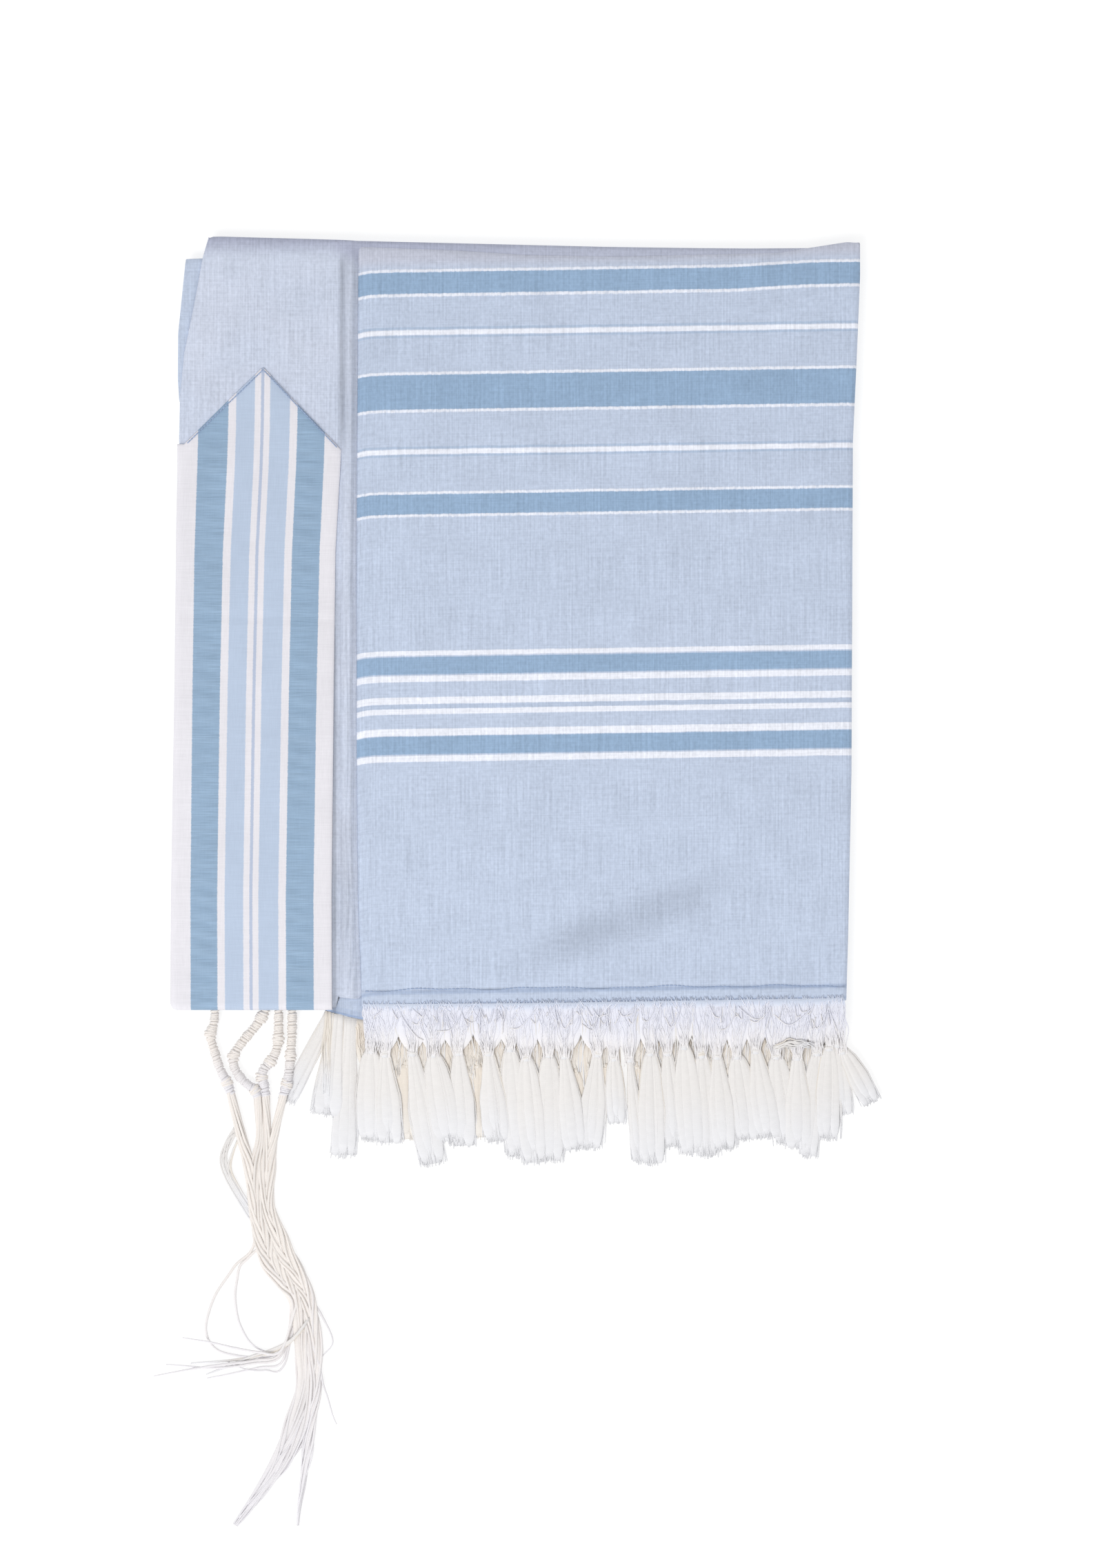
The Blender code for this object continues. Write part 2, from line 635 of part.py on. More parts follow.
def strings_route(cord, ring_place):
    """Where one string runs through the bundle, from its head to its end, with its side and its row."""
    order = "abcd".index(cord)
    i, j = STRING_RING[ring_place]
    middle = [Vector((x, y)) for x, y, _ in STRINGS]
    spacing = [gap for _, _, gap in STRINGS]
    offset = order - 1.5
    head = Vector(HEADS[cord][-1][:2])
    ends = [Vector(p) for p in (RIGHT_END if cord == "d" else LEFT_END)]
    end_offset = 0 if cord == "d" else order - 1
    route = []
    whole = middle + ends
    for n, point in enumerate(whole):
        run = (whole[min(n + 1, len(whole) - 1)] - whole[max(n - 1, 0)]).normalized()
        side = Vector((-run.y, run.x))
        if n == 0:
            route.append((Vector((head.x, point.y)) + side * i * FIRST_SPREAD, side, j))
        elif n < len(middle):
            route.append((point + side * (offset * spacing[n] + i * spacing[n] / 3), side, j))
        else:
            route.append((point + side * (end_offset + i / 3) * END_SPACING, side, j))
    return route


def make_corner_tassel(cord):
    """A knotted, wound head that starts at the bottom fold, and its eight strings on the floor."""
    bm = bmesh.new()
    section_layers(bm)
    bmesh.ops.create_cone(bm, cap_ends=True, segments=HEAD_SIDES, radius1=1, radius2=1, depth=2)
    across, up = section_layers(bm)
    half_side = math.pi / HEAD_SIDES
    top = max(bm.faces, key=lambda f: f.calc_center_median().z)
    for vert in bm.verts:
        angle = math.atan2(vert.co.y, vert.co.x) + half_side
        vert[across], vert[up] = math.cos(angle), math.sin(angle)
    stations = []
    for n, (x, y, radius) in enumerate(HEADS[cord]):
        after = HEADS[cord][min(n + 1, len(HEADS[cord]) - 1)]
        before = HEADS[cord][max(n - 1, 0)]
        run = Vector((after[0] - before[0], after[1] - before[1], 0)).normalized()
        if n in (0, len(HEADS[cord]) - 1):
            run = Vector((0, -1, 0))
        side = Vector((-run.y, run.x, 0))
        stations.append((Vector((x, y, HEAD_HEIGHT)), side, radius, radius))
    bottom = [v for v in bm.verts if v not in top.verts[:]]
    for verts, (centre, side, radius, _) in ((bottom, stations[0]), (top.verts[:], stations[1])):
        for vert in verts:
            vert.co = centre + side * vert[across] * radius
            vert.co.z += vert[up] * radius
    last = grow(bm, top, stations[2:])
    centre = last.calc_center_median()
    wedges = bmesh.ops.poke(bm, faces=[last])["faces"]
    for wedge in wedges:
        away = wedge.calc_center_median() - centre
        ring_place = round(math.atan2(away.z, away.x) / math.tau * 8) % 8
        stations = []
        route = strings_route(cord, ring_place)
        loose = LOOSE.get((cord, ring_place))
        stop = loose[0] + 1 if loose else len(route) - STRING_ENDS[ring_place]
        for n, (point, side, row) in enumerate(route[:stop]):
            height = STRING_LOW + (row + 1) * STRING_ROWS
            if n == 0:
                height = mix(height, HEAD_HEIGHT + away.z, FIRST_DROP)
            stations.append((Vector((*point, height)), Vector((*side, 0)), STRING_HALF, STRING_HALF))
        if loose:
            points = [Vector(p) for p in loose[2]]
            for n, point in enumerate(points):
                before = points[n - 1] if n else route[stop - 1][0]
                after = points[min(n + 1, len(points) - 1)]
                run = (after - before).normalized()
                side = Vector((-run.y, run.x, 0))
                stations.append((Vector((*point, loose[1])), side, STRING_HALF, STRING_HALF))
        mark(bm, wedge, Vector((1, 0, 0)))
        grow(bm, wedge, stations)
    finish(f"tzitzit_{cord}", bm, (0.75, 0.72, 0.66), 0.9)


for old in list(bpy.data.objects):
    bpy.data.objects.remove(old)
shawl = bpy.data.collections.new("tallit_prayer_shawl")
bpy.context.scene.collection.children.link(shawl)

make_core()
make_back_layer()
make_neck_stretch()
make_atarah()
make_striped_end()

END_HEM = [(mix(END_LEFT[-1][1], END_RIGHT[-1][1] - 1.5, share), y) for share, y in END_HEM_EDGE]
make_fringe("fringe_front", FRONT_TASSELS, END_HEM, FRONT_DRAPE, LOCKS, (0.79, 0.78, 0.82))

row_x = np.linspace(UNDER_ROW["first"], UNDER_ROW["last"], UNDER_ROW["count"])
under = list(UNDER_TASSELS)
under += [
    (float(x), UNDER_ROW["knot"], float(x) + UNDER_ROW["lean"], UNDER_ROW["tip"])
    for x in row_x
    if not UNDER_GAP[0] < x < UNDER_GAP[1]
]
UNDER_HEM = [(x, y) for x, y in BACK_HEM if -102 < x < 0] + [(182.0, -77.65)]
make_fringe("fringe_under", under, UNDER_HEM, UNDER_DRAPE, UNDER_LOCKS, (0.73, 0.7, 0.65))

for cord in "abcd":
    make_corner_tassel(cord)
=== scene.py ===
# %% [markdown]
# # A tallit prayer shawl, folded flat
#
# A tallit is a long striped cloth with a stitched neckband, a fringe along both short sides and a corded
# tassel at each corner. This one is folded into a flat pile and lies on a table, seen from straight
# above. The solids of the pile are loaded first. Every piece below is a finer cloth or thread that lies
# where its solid lies.

import math

import bpy
import numpy as np
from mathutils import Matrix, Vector


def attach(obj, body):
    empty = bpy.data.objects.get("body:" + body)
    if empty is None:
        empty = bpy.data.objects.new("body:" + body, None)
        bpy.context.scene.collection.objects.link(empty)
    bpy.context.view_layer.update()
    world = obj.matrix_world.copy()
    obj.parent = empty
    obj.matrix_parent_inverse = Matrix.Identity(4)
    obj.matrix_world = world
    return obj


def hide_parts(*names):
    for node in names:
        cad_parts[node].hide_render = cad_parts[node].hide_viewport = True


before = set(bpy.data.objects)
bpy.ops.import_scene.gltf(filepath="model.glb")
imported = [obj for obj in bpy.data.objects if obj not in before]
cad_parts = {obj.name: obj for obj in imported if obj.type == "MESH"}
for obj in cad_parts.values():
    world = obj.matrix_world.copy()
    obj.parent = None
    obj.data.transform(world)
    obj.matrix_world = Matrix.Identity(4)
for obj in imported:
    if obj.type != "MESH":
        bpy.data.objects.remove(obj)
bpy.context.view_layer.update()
MM = 0.001
print("solids:", sorted(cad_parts))

# %% [markdown]
# ## Camera and light
#
# A long lens straight above the pile shows it with hardly any perspective, as a picture for a catalogue
# does. The light is a bright even surround and one big soft lamp from the lower left, so folds show as
# faint shading only. The Standard view keeps pale cloth pale. A filmic view would turn the white floor
# grey.

# %% Set the camera straight above
VIEW_CENTRE = (25.9, 57.9)
VIEW_DISTANCE = 2549.0
CLOTH_HEIGHT = 10.0
LENS, FILM = 100.0, 36.0

camera_data = bpy.data.cameras.new("camera_above")
camera_data.lens = LENS
camera_data.sensor_fit = "VERTICAL"
camera_data.sensor_width = FILM
camera_data.sensor_height = FILM
camera = bpy.data.objects.new("camera_above", camera_data)
camera.location = (VIEW_CENTRE[0] * MM, VIEW_CENTRE[1] * MM, VIEW_DISTANCE * MM)
bpy.context.scene.collection.objects.link(camera)
bpy.context.scene.camera = camera
bpy.context.scene.view_settings.view_transform = "Standard"
print("view height at the cloth:", round(FILM / LENS * (VIEW_DISTANCE - CLOTH_HEIGHT)), "mm")

# %% Hang the lights
SURROUND = 0.74
LAMP_POWER = 34.0
LAMP_PLACE = (-1.0, -1.3, 2.1)
LAMP_SIZE = 1.3

world = bpy.data.worlds.new("even_surround")
world.use_nodes = True
world.node_tree.nodes["Background"].inputs["Color"].default_value = (1, 1, 1, 1)
world.node_tree.nodes["Background"].inputs["Strength"].default_value = SURROUND
bpy.context.scene.world = world

lamp_data = bpy.data.lights.new("soft_lamp", "AREA")
lamp_data.energy = LAMP_POWER
lamp_data.size = LAMP_SIZE
lamp = bpy.data.objects.new("soft_lamp", lamp_data)
lamp.location = LAMP_PLACE
lamp.rotation_euler = (-Vector(LAMP_PLACE)).to_track_quat("-Z", "Y").to_euler()
bpy.context.scene.collection.objects.link(lamp)
print("lamp:", LAMP_POWER, "W")

# %% [markdown]
# ## Sums on shader sockets
#
# A striped cloth's colour is a sum of many masks. Written as nodes by hand it would be long, so one small
# class wraps a node's output and gives it Python's operators: each `+` or `*` adds a Math node. All other
# nodes come from one method, which sets the node's own settings before it fills its sockets.

# %% A socket that takes part in sums
class Socket:
    """A node's output that Python's operators can be used on."""

    def __init__(self, finish, output):
        self.finish = finish
        self.output = output

    def sum(self, operation, first, second):
        return self.finish.node("ShaderNodeMath", {"operation": operation}, {0: first, 1: second})

    def __add__(self, other):
        return self.sum("ADD", self, other)

    def __radd__(self, other):
        return self.sum("ADD", other, self)

    def __sub__(self, other):
        return self.sum("SUBTRACT", self, other)

    def __rsub__(self, other):
        return self.sum("SUBTRACT", other, self)

    def __mul__(self, other):
        return self.sum("MULTIPLY", self, other)

    def __rmul__(self, other):
        return self.sum("MULTIPLY", other, self)

    def __truediv__(self, other):
        return self.sum("DIVIDE", self, other)

    def __abs__(self):
        return self.sum("ABSOLUTE", self, 0)

    def most(self, other):
        return self.sum("MAXIMUM", self, other)


print("a socket takes +, -, *, /, abs and most")


# %% A finish under construction
class Finish:
    """A material: its Principled shader, and the nodes that feed it."""

    def __init__(self, name, **constants):
        self.material = bpy.data.materials.new(name)
        self.material.use_nodes = True
        self.tree = self.material.node_tree
        self.shader = self.tree.nodes["Principled BSDF"]
        for label, value in constants.items():
            self.shader.inputs[label.replace("_", " ")].default_value = value

    def node(self, kind, settings=None, inputs=None, output=0):
        """Adds a node: its settings first, then the values or links of its sockets."""
        node = self.tree.nodes.new(kind)
        for label, value in (settings or {}).items():
            setattr(node, label, value)
        for label, value in (inputs or {}).items():
            if isinstance(value, Socket):
                self.tree.links.new(value.output, node.inputs[label])
            else:
                node.inputs[label].default_value = value
        return Socket(self, node.outputs[output])

    def woven_place(self, layer="cloth"):
        """The place in the cloth, across and along, in millimetres."""
        place = self.node("ShaderNodeUVMap", {"uv_map": layer})
        split = {"Vector": place}
        return (self.node("ShaderNodeSeparateXYZ", None, split, "X"),
                self.node("ShaderNodeSeparateXYZ", None, split, "Y"))

    def noise(self, across, along, detail=2.0):
        """Soft noise from 0 to 1 at a place that is already scaled."""
        place = self.node("ShaderNodeCombineXYZ", None, {"X": across, "Y": along})
        settings = {"noise_dimensions": "2D"}
        return self.node("ShaderNodeTexNoise", settings, {"Vector": place, "Scale": 1.0, "Detail": detail})

    def ease(self, value, low, high):
        """0 below low, 1 above high, and soft between."""
        limits = {"Value": value, "From Min": low, "From Max": high}
        return self.node("ShaderNodeMapRange", {"interpolation_type": "SMOOTHSTEP"}, limits)

    def stripes(self, value, rows, soft=0.35):
        """1 inside the stripes of a table of (low edge, high edge), 0 outside."""
        mask = 0
        for low, high in rows:
            away = abs(value - (low + high) / 2)
            half = (high - low) / 2
            stripe = 1 - self.ease(away, half - soft, half + soft)
            mask = stripe.most(mask)
        return mask

    def blend(self, mask, first, second):
        """The first colour where the mask is 0, the second where it is 1."""
        settings = {"data_type": "RGBA", "blend_type": "MIX"}
        return self.node("ShaderNodeMix", settings, {0: mask, 6: first, 7: second}, 2)

    def shade(self, colour, amount):
        """The colour made lighter or darker by a number round 1."""
        settings = {"operation": "SCALE"}
        return self.node("ShaderNodeVectorMath", settings, {0: colour, "Scale": amount})

    def bump(self, height, distance, strength=1.0):
        """A bump from a height in millimetres."""
        inputs = {"Height": height, "Distance": distance * MM, "Strength": strength}
        return self.node("ShaderNodeBump", None, inputs)

    def wear(self, **links):
        """Feeds the shader, and gives the material."""
        for label, value in links.items():
            self.tree.links.new(value.output, self.shader.inputs[label.replace("_", " ")])
        return self.material


print("a finish can:", [name for name in vars(Finish) if not name.startswith("_")])


# %% [markdown]
# ## Colours as they look
#
# Colours are given as they look under this light, from 0 to 255. The light here adds up to more than 1,
# so the colour of the dye is the look, turned into linear light, over the light's own level.

# %% Mix a dye from a look
LIGHT_LEVEL = 1.09
DYE_LIMIT = 0.93


def dye(red, green, blue):
    """The dye that looks like this colour, by the standard curve from screen values to linear light."""
    linear = [((level / 255 + 0.055) / 1.055) ** 2.4 for level in (red, green, blue)]
    return (*[min(level / LIGHT_LEVEL, DYE_LIMIT) for level in linear], 1)


PALE_BLUE = dye(195, 207, 228)
STRIPE_BLUE = dye(150, 177, 207)
FINE_BLUE = dye(178, 195, 219)
MIDDLE_BLUE = dye(187, 200, 222)
STRIPE_WHITE = dye(241, 244, 254)
HEM_BLUE = dye(160, 178, 209)
NECK_BLUE = dye(211, 217, 233)
TOP_FOLD_SHADE = dye(200, 204, 220)
LEFT_STRIP_SHADE = dye(176, 181, 202)
RIGHT_STRIP_SHADE = dye(184, 189, 208)
BAND_WHITE = dye(233, 231, 237)
BAND_BLUE = dye(147, 174, 201)
BAND_PALE = dye(188, 203, 225)
BAND_THIN = dye(186, 197, 219)
FRINGE_WHITE = dye(236, 233, 231)
FRINGE_SHADE = dye(235, 235, 238)
FAN_ROOT = dye(216, 225, 243)
FAN_BLUE = dye(236, 237, 247)
FAN_WHITE = dye(246, 243, 243)
FRINGE_CREAM = dye(239, 234, 228)
FRINGE_TAN = dye(236, 227, 216)
FRINGE_STREAK_AND_SHADE = dye(231, 222, 209)
WOOL = dye(241, 235, 230)
WOOL_TIP = dye(236, 234, 238)
print("pale blue dye:", [round(level, 3) for level in PALE_BLUE[:3]])

# %% [markdown]
# ## Striped cotton
#
# The stripes are woven, so they follow the cloth and not the table. Each cloth piece carries a map named
# cloth, which gives every point's place in the weave in millimetres, and the stripes are read from it. A
# little noise moves their edges by a thread or so. Fine lines run along the warp, and wide soft noise
# gives the faint cloudiness of washed cotton. The weave itself is a bump: at this size each thread is
# thinner than a pixel.

# %% Weave the striped cotton
DARK_STRIPES = ((344.9, 357.4), (277.4, 297.5), (216.3, 227.9), (123.0, 133.1), (76.4, 86.8))
WHITE_STRIPES = ((320.8, 323.6), (251.3, 254.1), (133.9, 136.7), (118.6, 122.2), (105.7, 109.7),
                 (99.7, 102.9), (87.2, 91.3), (72.0, 75.6))
FINE_STRIPES = ((319.2, 320.3), (324.1, 325.3), (249.8, 250.9), (254.6, 255.7))
MIDDLE_STRIPES = ((102.9, 105.7),)
BORDER_STRIPES = ((343.1, 344.8), (357.5, 359.1), (275.7, 277.3), (297.6, 299.2), (214.7, 216.2),
                  (228.0, 229.5))
HEM_STITCH_AND_SHADOW = ((-63.4, -61.2),)
HEM_EDGE_STRIPE = ((-69.6, -68.4),)
SHADED_TOP = 362.5
STRIPE_WANDER = 0.45
TROUGH_SLOPE, TROUGH_FOOT, TROUGH_SOFT = 0.36, -46.0, 9.0
TROUGH_STRIP = ((-10.0, 10.0),)
TROUGH_START, TROUGH_END = (-10.0, 40.0), (95.0, 130.0)
TROUGH_SHADE = 0.15
COTTON_NOISES = (  # scale across, scale along, detail, share of the light, relief in mm
    (1.1, 0.03, 3.0, 0.36, 0.16),  # the warp's lines
    (0.05, 1.3, 3.0, 0.2, 0.12),  # the weft's lines
    (0.035, 0.05, 4.0, 0.14, 0.0),  # clouds
    (0.55, 0.4, 2.0, 0.26, 0.12),  # speckles
)
SLUB_SHADE = 0.03
STRIPE_RELIEF, WEAVE_STRENGTH = 0.12, 0.7


def cotton_threads(finish, across, along):
    """Light and dark of the threads, round 1, and their relief in millimetres."""
    light, relief = 1, 0
    for across_scale, along_scale, detail, share, height in COTTON_NOISES:
        noise = finish.noise(across * across_scale, along * along_scale, detail)
        light = light + (noise - 0.5) * share
        relief = relief + noise * height
    slub = finish.ease(finish.noise(across * 0.09 + 7, along * 1.9), 0.56, 0.72)
    return light - slub * SLUB_SHADE, relief


def striped_cotton(name, ground):
    """The end panel's cotton, striped across its length, with painted shade at its top, trough and hem
    seam.
    """
    finish = Finish(name, Roughness=0.86, Sheen_Weight=0.12, Sheen_Roughness=0.5)
    across, along = finish.woven_place()
    fine_wander = (finish.noise(across * 0.9, along * 0.1) - 0.5) * 0.9
    wide_wander = finish.noise(across * 0.08, along * 0.05) - 0.5
    place = along + (fine_wander + wide_wander) * STRIPE_WANDER
    colour = finish.blend(finish.stripes(place, FINE_STRIPES), ground, FINE_BLUE)
    colour = finish.blend(finish.stripes(place, DARK_STRIPES), colour, STRIPE_BLUE)
    colour = finish.blend(finish.stripes(place, MIDDLE_STRIPES), colour, MIDDLE_BLUE)
    colour = finish.blend(finish.stripes(place, WHITE_STRIPES), colour, STRIPE_WHITE)
    floats = finish.ease(finish.noise(across * 0.5, along * 0.05, 3.0), 0.3, 0.5)
    border = finish.stripes(place + (finish.noise(across * 0.35, 3.0) - 0.5), BORDER_STRIPES, 0.4)
    colour = finish.blend(border * (0.55 + floats * 0.4), colour, STRIPE_WHITE)
    # The hem's seam line: partly its blue stitching, partly painted shadow along the turned hem's upper
    # edge.
    hem = finish.stripes(along + (finish.noise(across * 0.2, 5.0) - 0.5) * 1.2, HEM_STITCH_AND_SHADOW, 0.9)
    colour = finish.blend(hem * 0.6, colour, HEM_BLUE)
    colour = finish.blend(finish.stripes(along, HEM_EDGE_STRIPE, 0.6) * floats * 0.5, colour, HEM_BLUE)
    # Painted shade: the panel turns greyer towards its top, where the cloth turns down over the top fold.
    colour = finish.blend(finish.ease(along, SHADED_TOP - 6, SHADED_TOP + 4), colour, TOP_FOLD_SHADE)
    light, relief = cotton_threads(finish, across, along)
    # Painted shade along the long slanting trough near the bottom of the panel.
    slant = along - across * TROUGH_SLOPE - TROUGH_FOOT
    inside = finish.ease(across, *TROUGH_START) * (1 - finish.ease(across, *TROUGH_END))
    light = light * (1 - finish.stripes(slant, TROUGH_STRIP, TROUGH_SOFT) * inside * TROUGH_SHADE)
    raised = (finish.stripes(place, WHITE_STRIPES, 0.6) + border) * STRIPE_RELIEF
    bump = finish.bump(relief + raised, 1.0, WEAVE_STRENGTH)
    return finish.wear(Base_Color=finish.shade(colour, light), Normal=bump)


panel_cotton = striped_cotton("striped_cotton", PALE_BLUE)
print("stripes:", len(DARK_STRIPES), "dark and", len(WHITE_STRIPES), "white")

# %% Weave the plain cotton
HEM_SLANT, HEM_CORNER = 0.24, -110.7
TURNED_STRIPE, TURNED_EDGE = ((-74.0, -70.4),), ((-74.6, -73.3),)
VALLEY_SHADE = ((-102.6, -99.6),)
GAP_SHADE = ((-107.4, -104.6),)
CREST_SHADE = ((-100.0, -92.0),)
RIDGE_SHADE = ((-102.6, -96.0),)
FLANK_SHADE = 0.12


def plain_cotton(name, ground, shaded_top, hem=0.0):
    """The plain cotton of the other layers, with painted shade on the top fold and round the ridge's
    valley.
    """
    finish = Finish(name, Roughness=0.86, Sheen_Weight=0.12, Sheen_Roughness=0.5)
    across, along = finish.woven_place()
    light, relief = cotton_threads(finish, across, along)
    tint = finish.noise(across * 0.02, along * 0.02)
    colour = finish.blend(tint * 0.7, ground, PALE_BLUE)
    # Painted shade greys the strip past the top fold, less where the end panel's edge shades it already.
    beyond = finish.ease(across, -110.0, -90.0)
    strip = finish.blend(finish.ease(across, -60.0, 40.0), LEFT_STRIP_SHADE, RIGHT_STRIP_SHADE)
    colour = finish.blend(finish.ease(along + beyond * 8, shaded_top - 8, shaded_top + 4), colour, strip)
    turned_up = along + (across - HEM_CORNER) * HEM_SLANT
    colour = finish.blend(finish.stripes(turned_up, TURNED_STRIPE, 0.5) * hem * 0.3, colour, HEM_BLUE)
    colour = finish.blend(finish.stripes(turned_up, TURNED_EDGE, 0.4) * hem, colour, HEM_BLUE)
    # Painted shade on the ridge's valley, crest and low end, in the gap by the neckband and on the flank.
    upper = finish.ease(along, 235.0, 275.0) * (1 - finish.ease(along, 360.0, 370.0))
    covered = 1 - finish.ease(along, 150.0, 215.0)
    low = finish.stripes(along, ((-50.0, 40.0),), 14.0)
    shades = (  # strip across, softness, stretch along, depth of the shade
        (VALLEY_SHADE, 2.4, upper, 0.4),
        (CREST_SHADE, 1.5, upper, 0.08),
        (GAP_SHADE, 0.7, covered, 0.3),
        (RIDGE_SHADE, 1.5, low, 0.12),
    )
    for strip, soft, stretch, depth in shades:
        light = light * (1 - finish.stripes(across, strip, soft) * stretch * depth)
    flank = (1 - finish.ease(across, -104.6, -98.0)) * finish.ease(across, -109.0, -105.0)
    light = light * (1 - flank * covered * FLANK_SHADE)
    bump = finish.bump(relief, 1.0, WEAVE_STRENGTH)
    return finish.wear(Base_Color=finish.shade(colour, light), Normal=bump)


neck_cotton = plain_cotton("neck_cotton", NECK_BLUE, 372.0)
pile_cotton = plain_cotton("pile_cotton", PALE_BLUE, 400.0, 1.0)
print("plain cottons:", neck_cotton.name, pile_cotton.name)

# %% [markdown]
# ## The neckband's ribbon weave
#
# The neckband is a firmer ribbon, with its stripes along its length. Its dark stripes are ribbed across
# and have a slight gloss. The stripes are masks on the place across the band, as before.

# %% Weave the ribbon
BAND_DARK = ((-188.3, -172.3), (-132.1, -116.0))
BAND_LIGHT = ((-167.8, -157.0), (-148.1, -136.5))
BAND_FINE = ((-153.4, -151.6),)
RIBBON_ROUGHNESS, RIB_GLOSS = 0.78, 0.2


def ribbon_weave(name):
    """White ribbon with dark ribbed stripes, light stripes and a fine one in the middle."""
    finish = Finish(name, Sheen_Weight=0.1, Sheen_Roughness=0.4)
    across, along = finish.woven_place()
    wander = (finish.noise(across * 0.1, along * 0.9) - 0.5) * 0.5
    place = across + wander
    dark = finish.stripes(place, BAND_DARK, 0.3)
    light_stripe = finish.stripes(place, BAND_LIGHT, 0.3)
    colour = finish.blend(light_stripe, BAND_WHITE, BAND_PALE)
    colour = finish.blend(finish.stripes(place, BAND_FINE, 0.3), colour, BAND_THIN)
    colour = finish.blend(dark, colour, BAND_BLUE)
    rib = finish.noise(across * 0.06, along * 1.5, 3.0)
    thread = finish.noise(across * 1.4, along * 0.1, 2.0)
    cloud = finish.noise(across * 0.05, along * 0.03, 3.0)
    light = 1 + (rib - 0.5) * (0.12 + dark * 0.36) + (thread - 0.5) * 0.1 + (cloud - 0.5) * 0.1
    relief = rib * (0.06 + dark * 0.12) + thread * 0.05
    rough = RIBBON_ROUGHNESS - dark * RIB_GLOSS
    bump = finish.bump(relief, 1.0, WEAVE_STRENGTH)
    return finish.wear(Base_Color=finish.shade(colour, light), Roughness=rough, Normal=bump)


ribbon = ribbon_weave("ribbon_weave")
print("ribbon:", ribbon.name)

# %% [markdown]
# ## Cloth as thin closed shells
#
# A sheet of cloth could be a plane with a Solidify modifier. Here each sheet's upper face is worked out
# point by point, so the shell is built in one go: the upper face, a lower face a wall's thickness below
# it, and a rounded rim between them. Tables give the edges, and a table of creases gives each soft trough
# or ridge by its two ends, its width and its depth.

# %% Read tables and lay creases
def along_table(table, key):
    """Reads a table of (key, value) rows between its rows, for one key or many."""
    rows = sorted(table)
    return np.interp(key, [row[0] for row in rows], [row[1] for row in rows])


def eased(value, low, high):
    """0 below low, 1 above high, and soft between."""
    share = np.clip((value - low) / (high - low), 0, 1)
    return share * share * (3 - 2 * share)


CREASE_END = 0.06


def creased(x, y, creases):
    """The height that a table of (x, y, x, y, width, height) creases adds at a place."""
    height = np.zeros(np.broadcast(x, y).shape)
    for x1, y1, x2, y2, width, depth in creases:
        run = np.array((x2 - x1, y2 - y1))
        length = np.hypot(*run)
        run = run / length
        share = np.clip(((x - x1) * run[0] + (y - y1) * run[1]) / length, 0, 1)
        away = np.hypot(x - x1 - run[0] * share * length, y - y1 - run[1] * share * length)
        fade = np.sin(np.clip(share, CREASE_END, 1 - CREASE_END) * math.pi)
        height = height + depth * np.exp(-((away / width) ** 2)) * fade
    return height


print("middle of a trough 1 mm deep:", float(creased(5.0, 0.0, ((0, 0, 10, 0, 2, -1.0),))), "mm")

# %% Build a shell
def make_piece(name, points, faces, material, maps):
    """A smooth mesh with its maps, in millimetres, that rides on the pile."""
    mesh = bpy.data.meshes.new(name)
    mesh.from_pydata((np.asarray(points) * MM).tolist(), [], faces)
    corners = np.empty(len(mesh.loops), dtype=int)
    mesh.loops.foreach_get("vertex_index", corners)
    for label, places in maps.items():
        layer = mesh.uv_layers.new(name=label)
        layer.data.foreach_set("uv", np.asarray(places, dtype=float)[corners].ravel())
    mesh.polygons.foreach_set("use_smooth", [True] * len(mesh.polygons))
    mesh.materials.append(material)
    mesh.update()
    piece = bpy.data.objects.new(name, mesh)
    bpy.context.scene.collection.objects.link(piece)
    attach(piece, "root")
    print(name, len(mesh.vertices), "points", sum(len(p.vertices) - 2 for p in mesh.polygons), "triangles")
    return piece


def make_shell(name, points, weave, wall, material):
    """A thin closed cloth from a grid of points on its upper face, each with its place in the weave."""
    rows, columns = points.shape[:2]
    right, up = np.gradient(points, axis=1), np.gradient(points, axis=0)
    normal = np.cross(right, up)
    normal /= np.linalg.norm(normal, axis=2, keepdims=True)
    index = np.arange(rows * columns).reshape(rows, columns)
    count = rows * columns
    rim = [(0, c) for c in range(columns - 1)] + [(r, columns - 1) for r in range(rows - 1)]
    rim += [(rows - 1, c) for c in range(columns - 1, 0, -1)] + [(r, 0) for r in range(rows - 1, 0, -1)]
    edge = np.array([index[place] for place in rim])
    flat = points.reshape(-1, 3)
    normals = normal.reshape(-1, 3)
    run = np.roll(flat[edge], -1, axis=0) - np.roll(flat[edge], 1, axis=0)
    out = np.cross(run, normals[edge])
    out /= np.linalg.norm(out, axis=1, keepdims=True)
    middle = flat[edge] - normals[edge] * wall / 2 + out * wall / 2
    below = flat - normals * wall
    faces = []
    for r in range(rows - 1):
        for c in range(columns - 1):
            quad = [index[r, c], index[r, c + 1], index[r + 1, c + 1], index[r + 1, c]]
            faces.append(quad)
            faces.append([corner + count for corner in reversed(quad)])
    for k in range(len(edge)):
        n = (k + 1) % len(edge)
        mid, mid_next = 2 * count + k, 2 * count + n
        faces.append([mid, mid_next, edge[n], edge[k]])
        faces.append([edge[k] + count, edge[n] + count, mid_next, mid])
    places = weave.reshape(-1, 2)
    maps = {"cloth": np.concatenate((places, places, places[edge]))}
    return make_piece(name, np.concatenate((flat, below, middle)), faces, material, maps)


# %% [markdown]
# ## Levels that the layers share
#
# The solids were stacked from the table up, with three tenths of a millimetre between layers, and all of
# them follow one soft wave. The finer cloth keeps those levels, so that no layer cuts through the one
# above it.

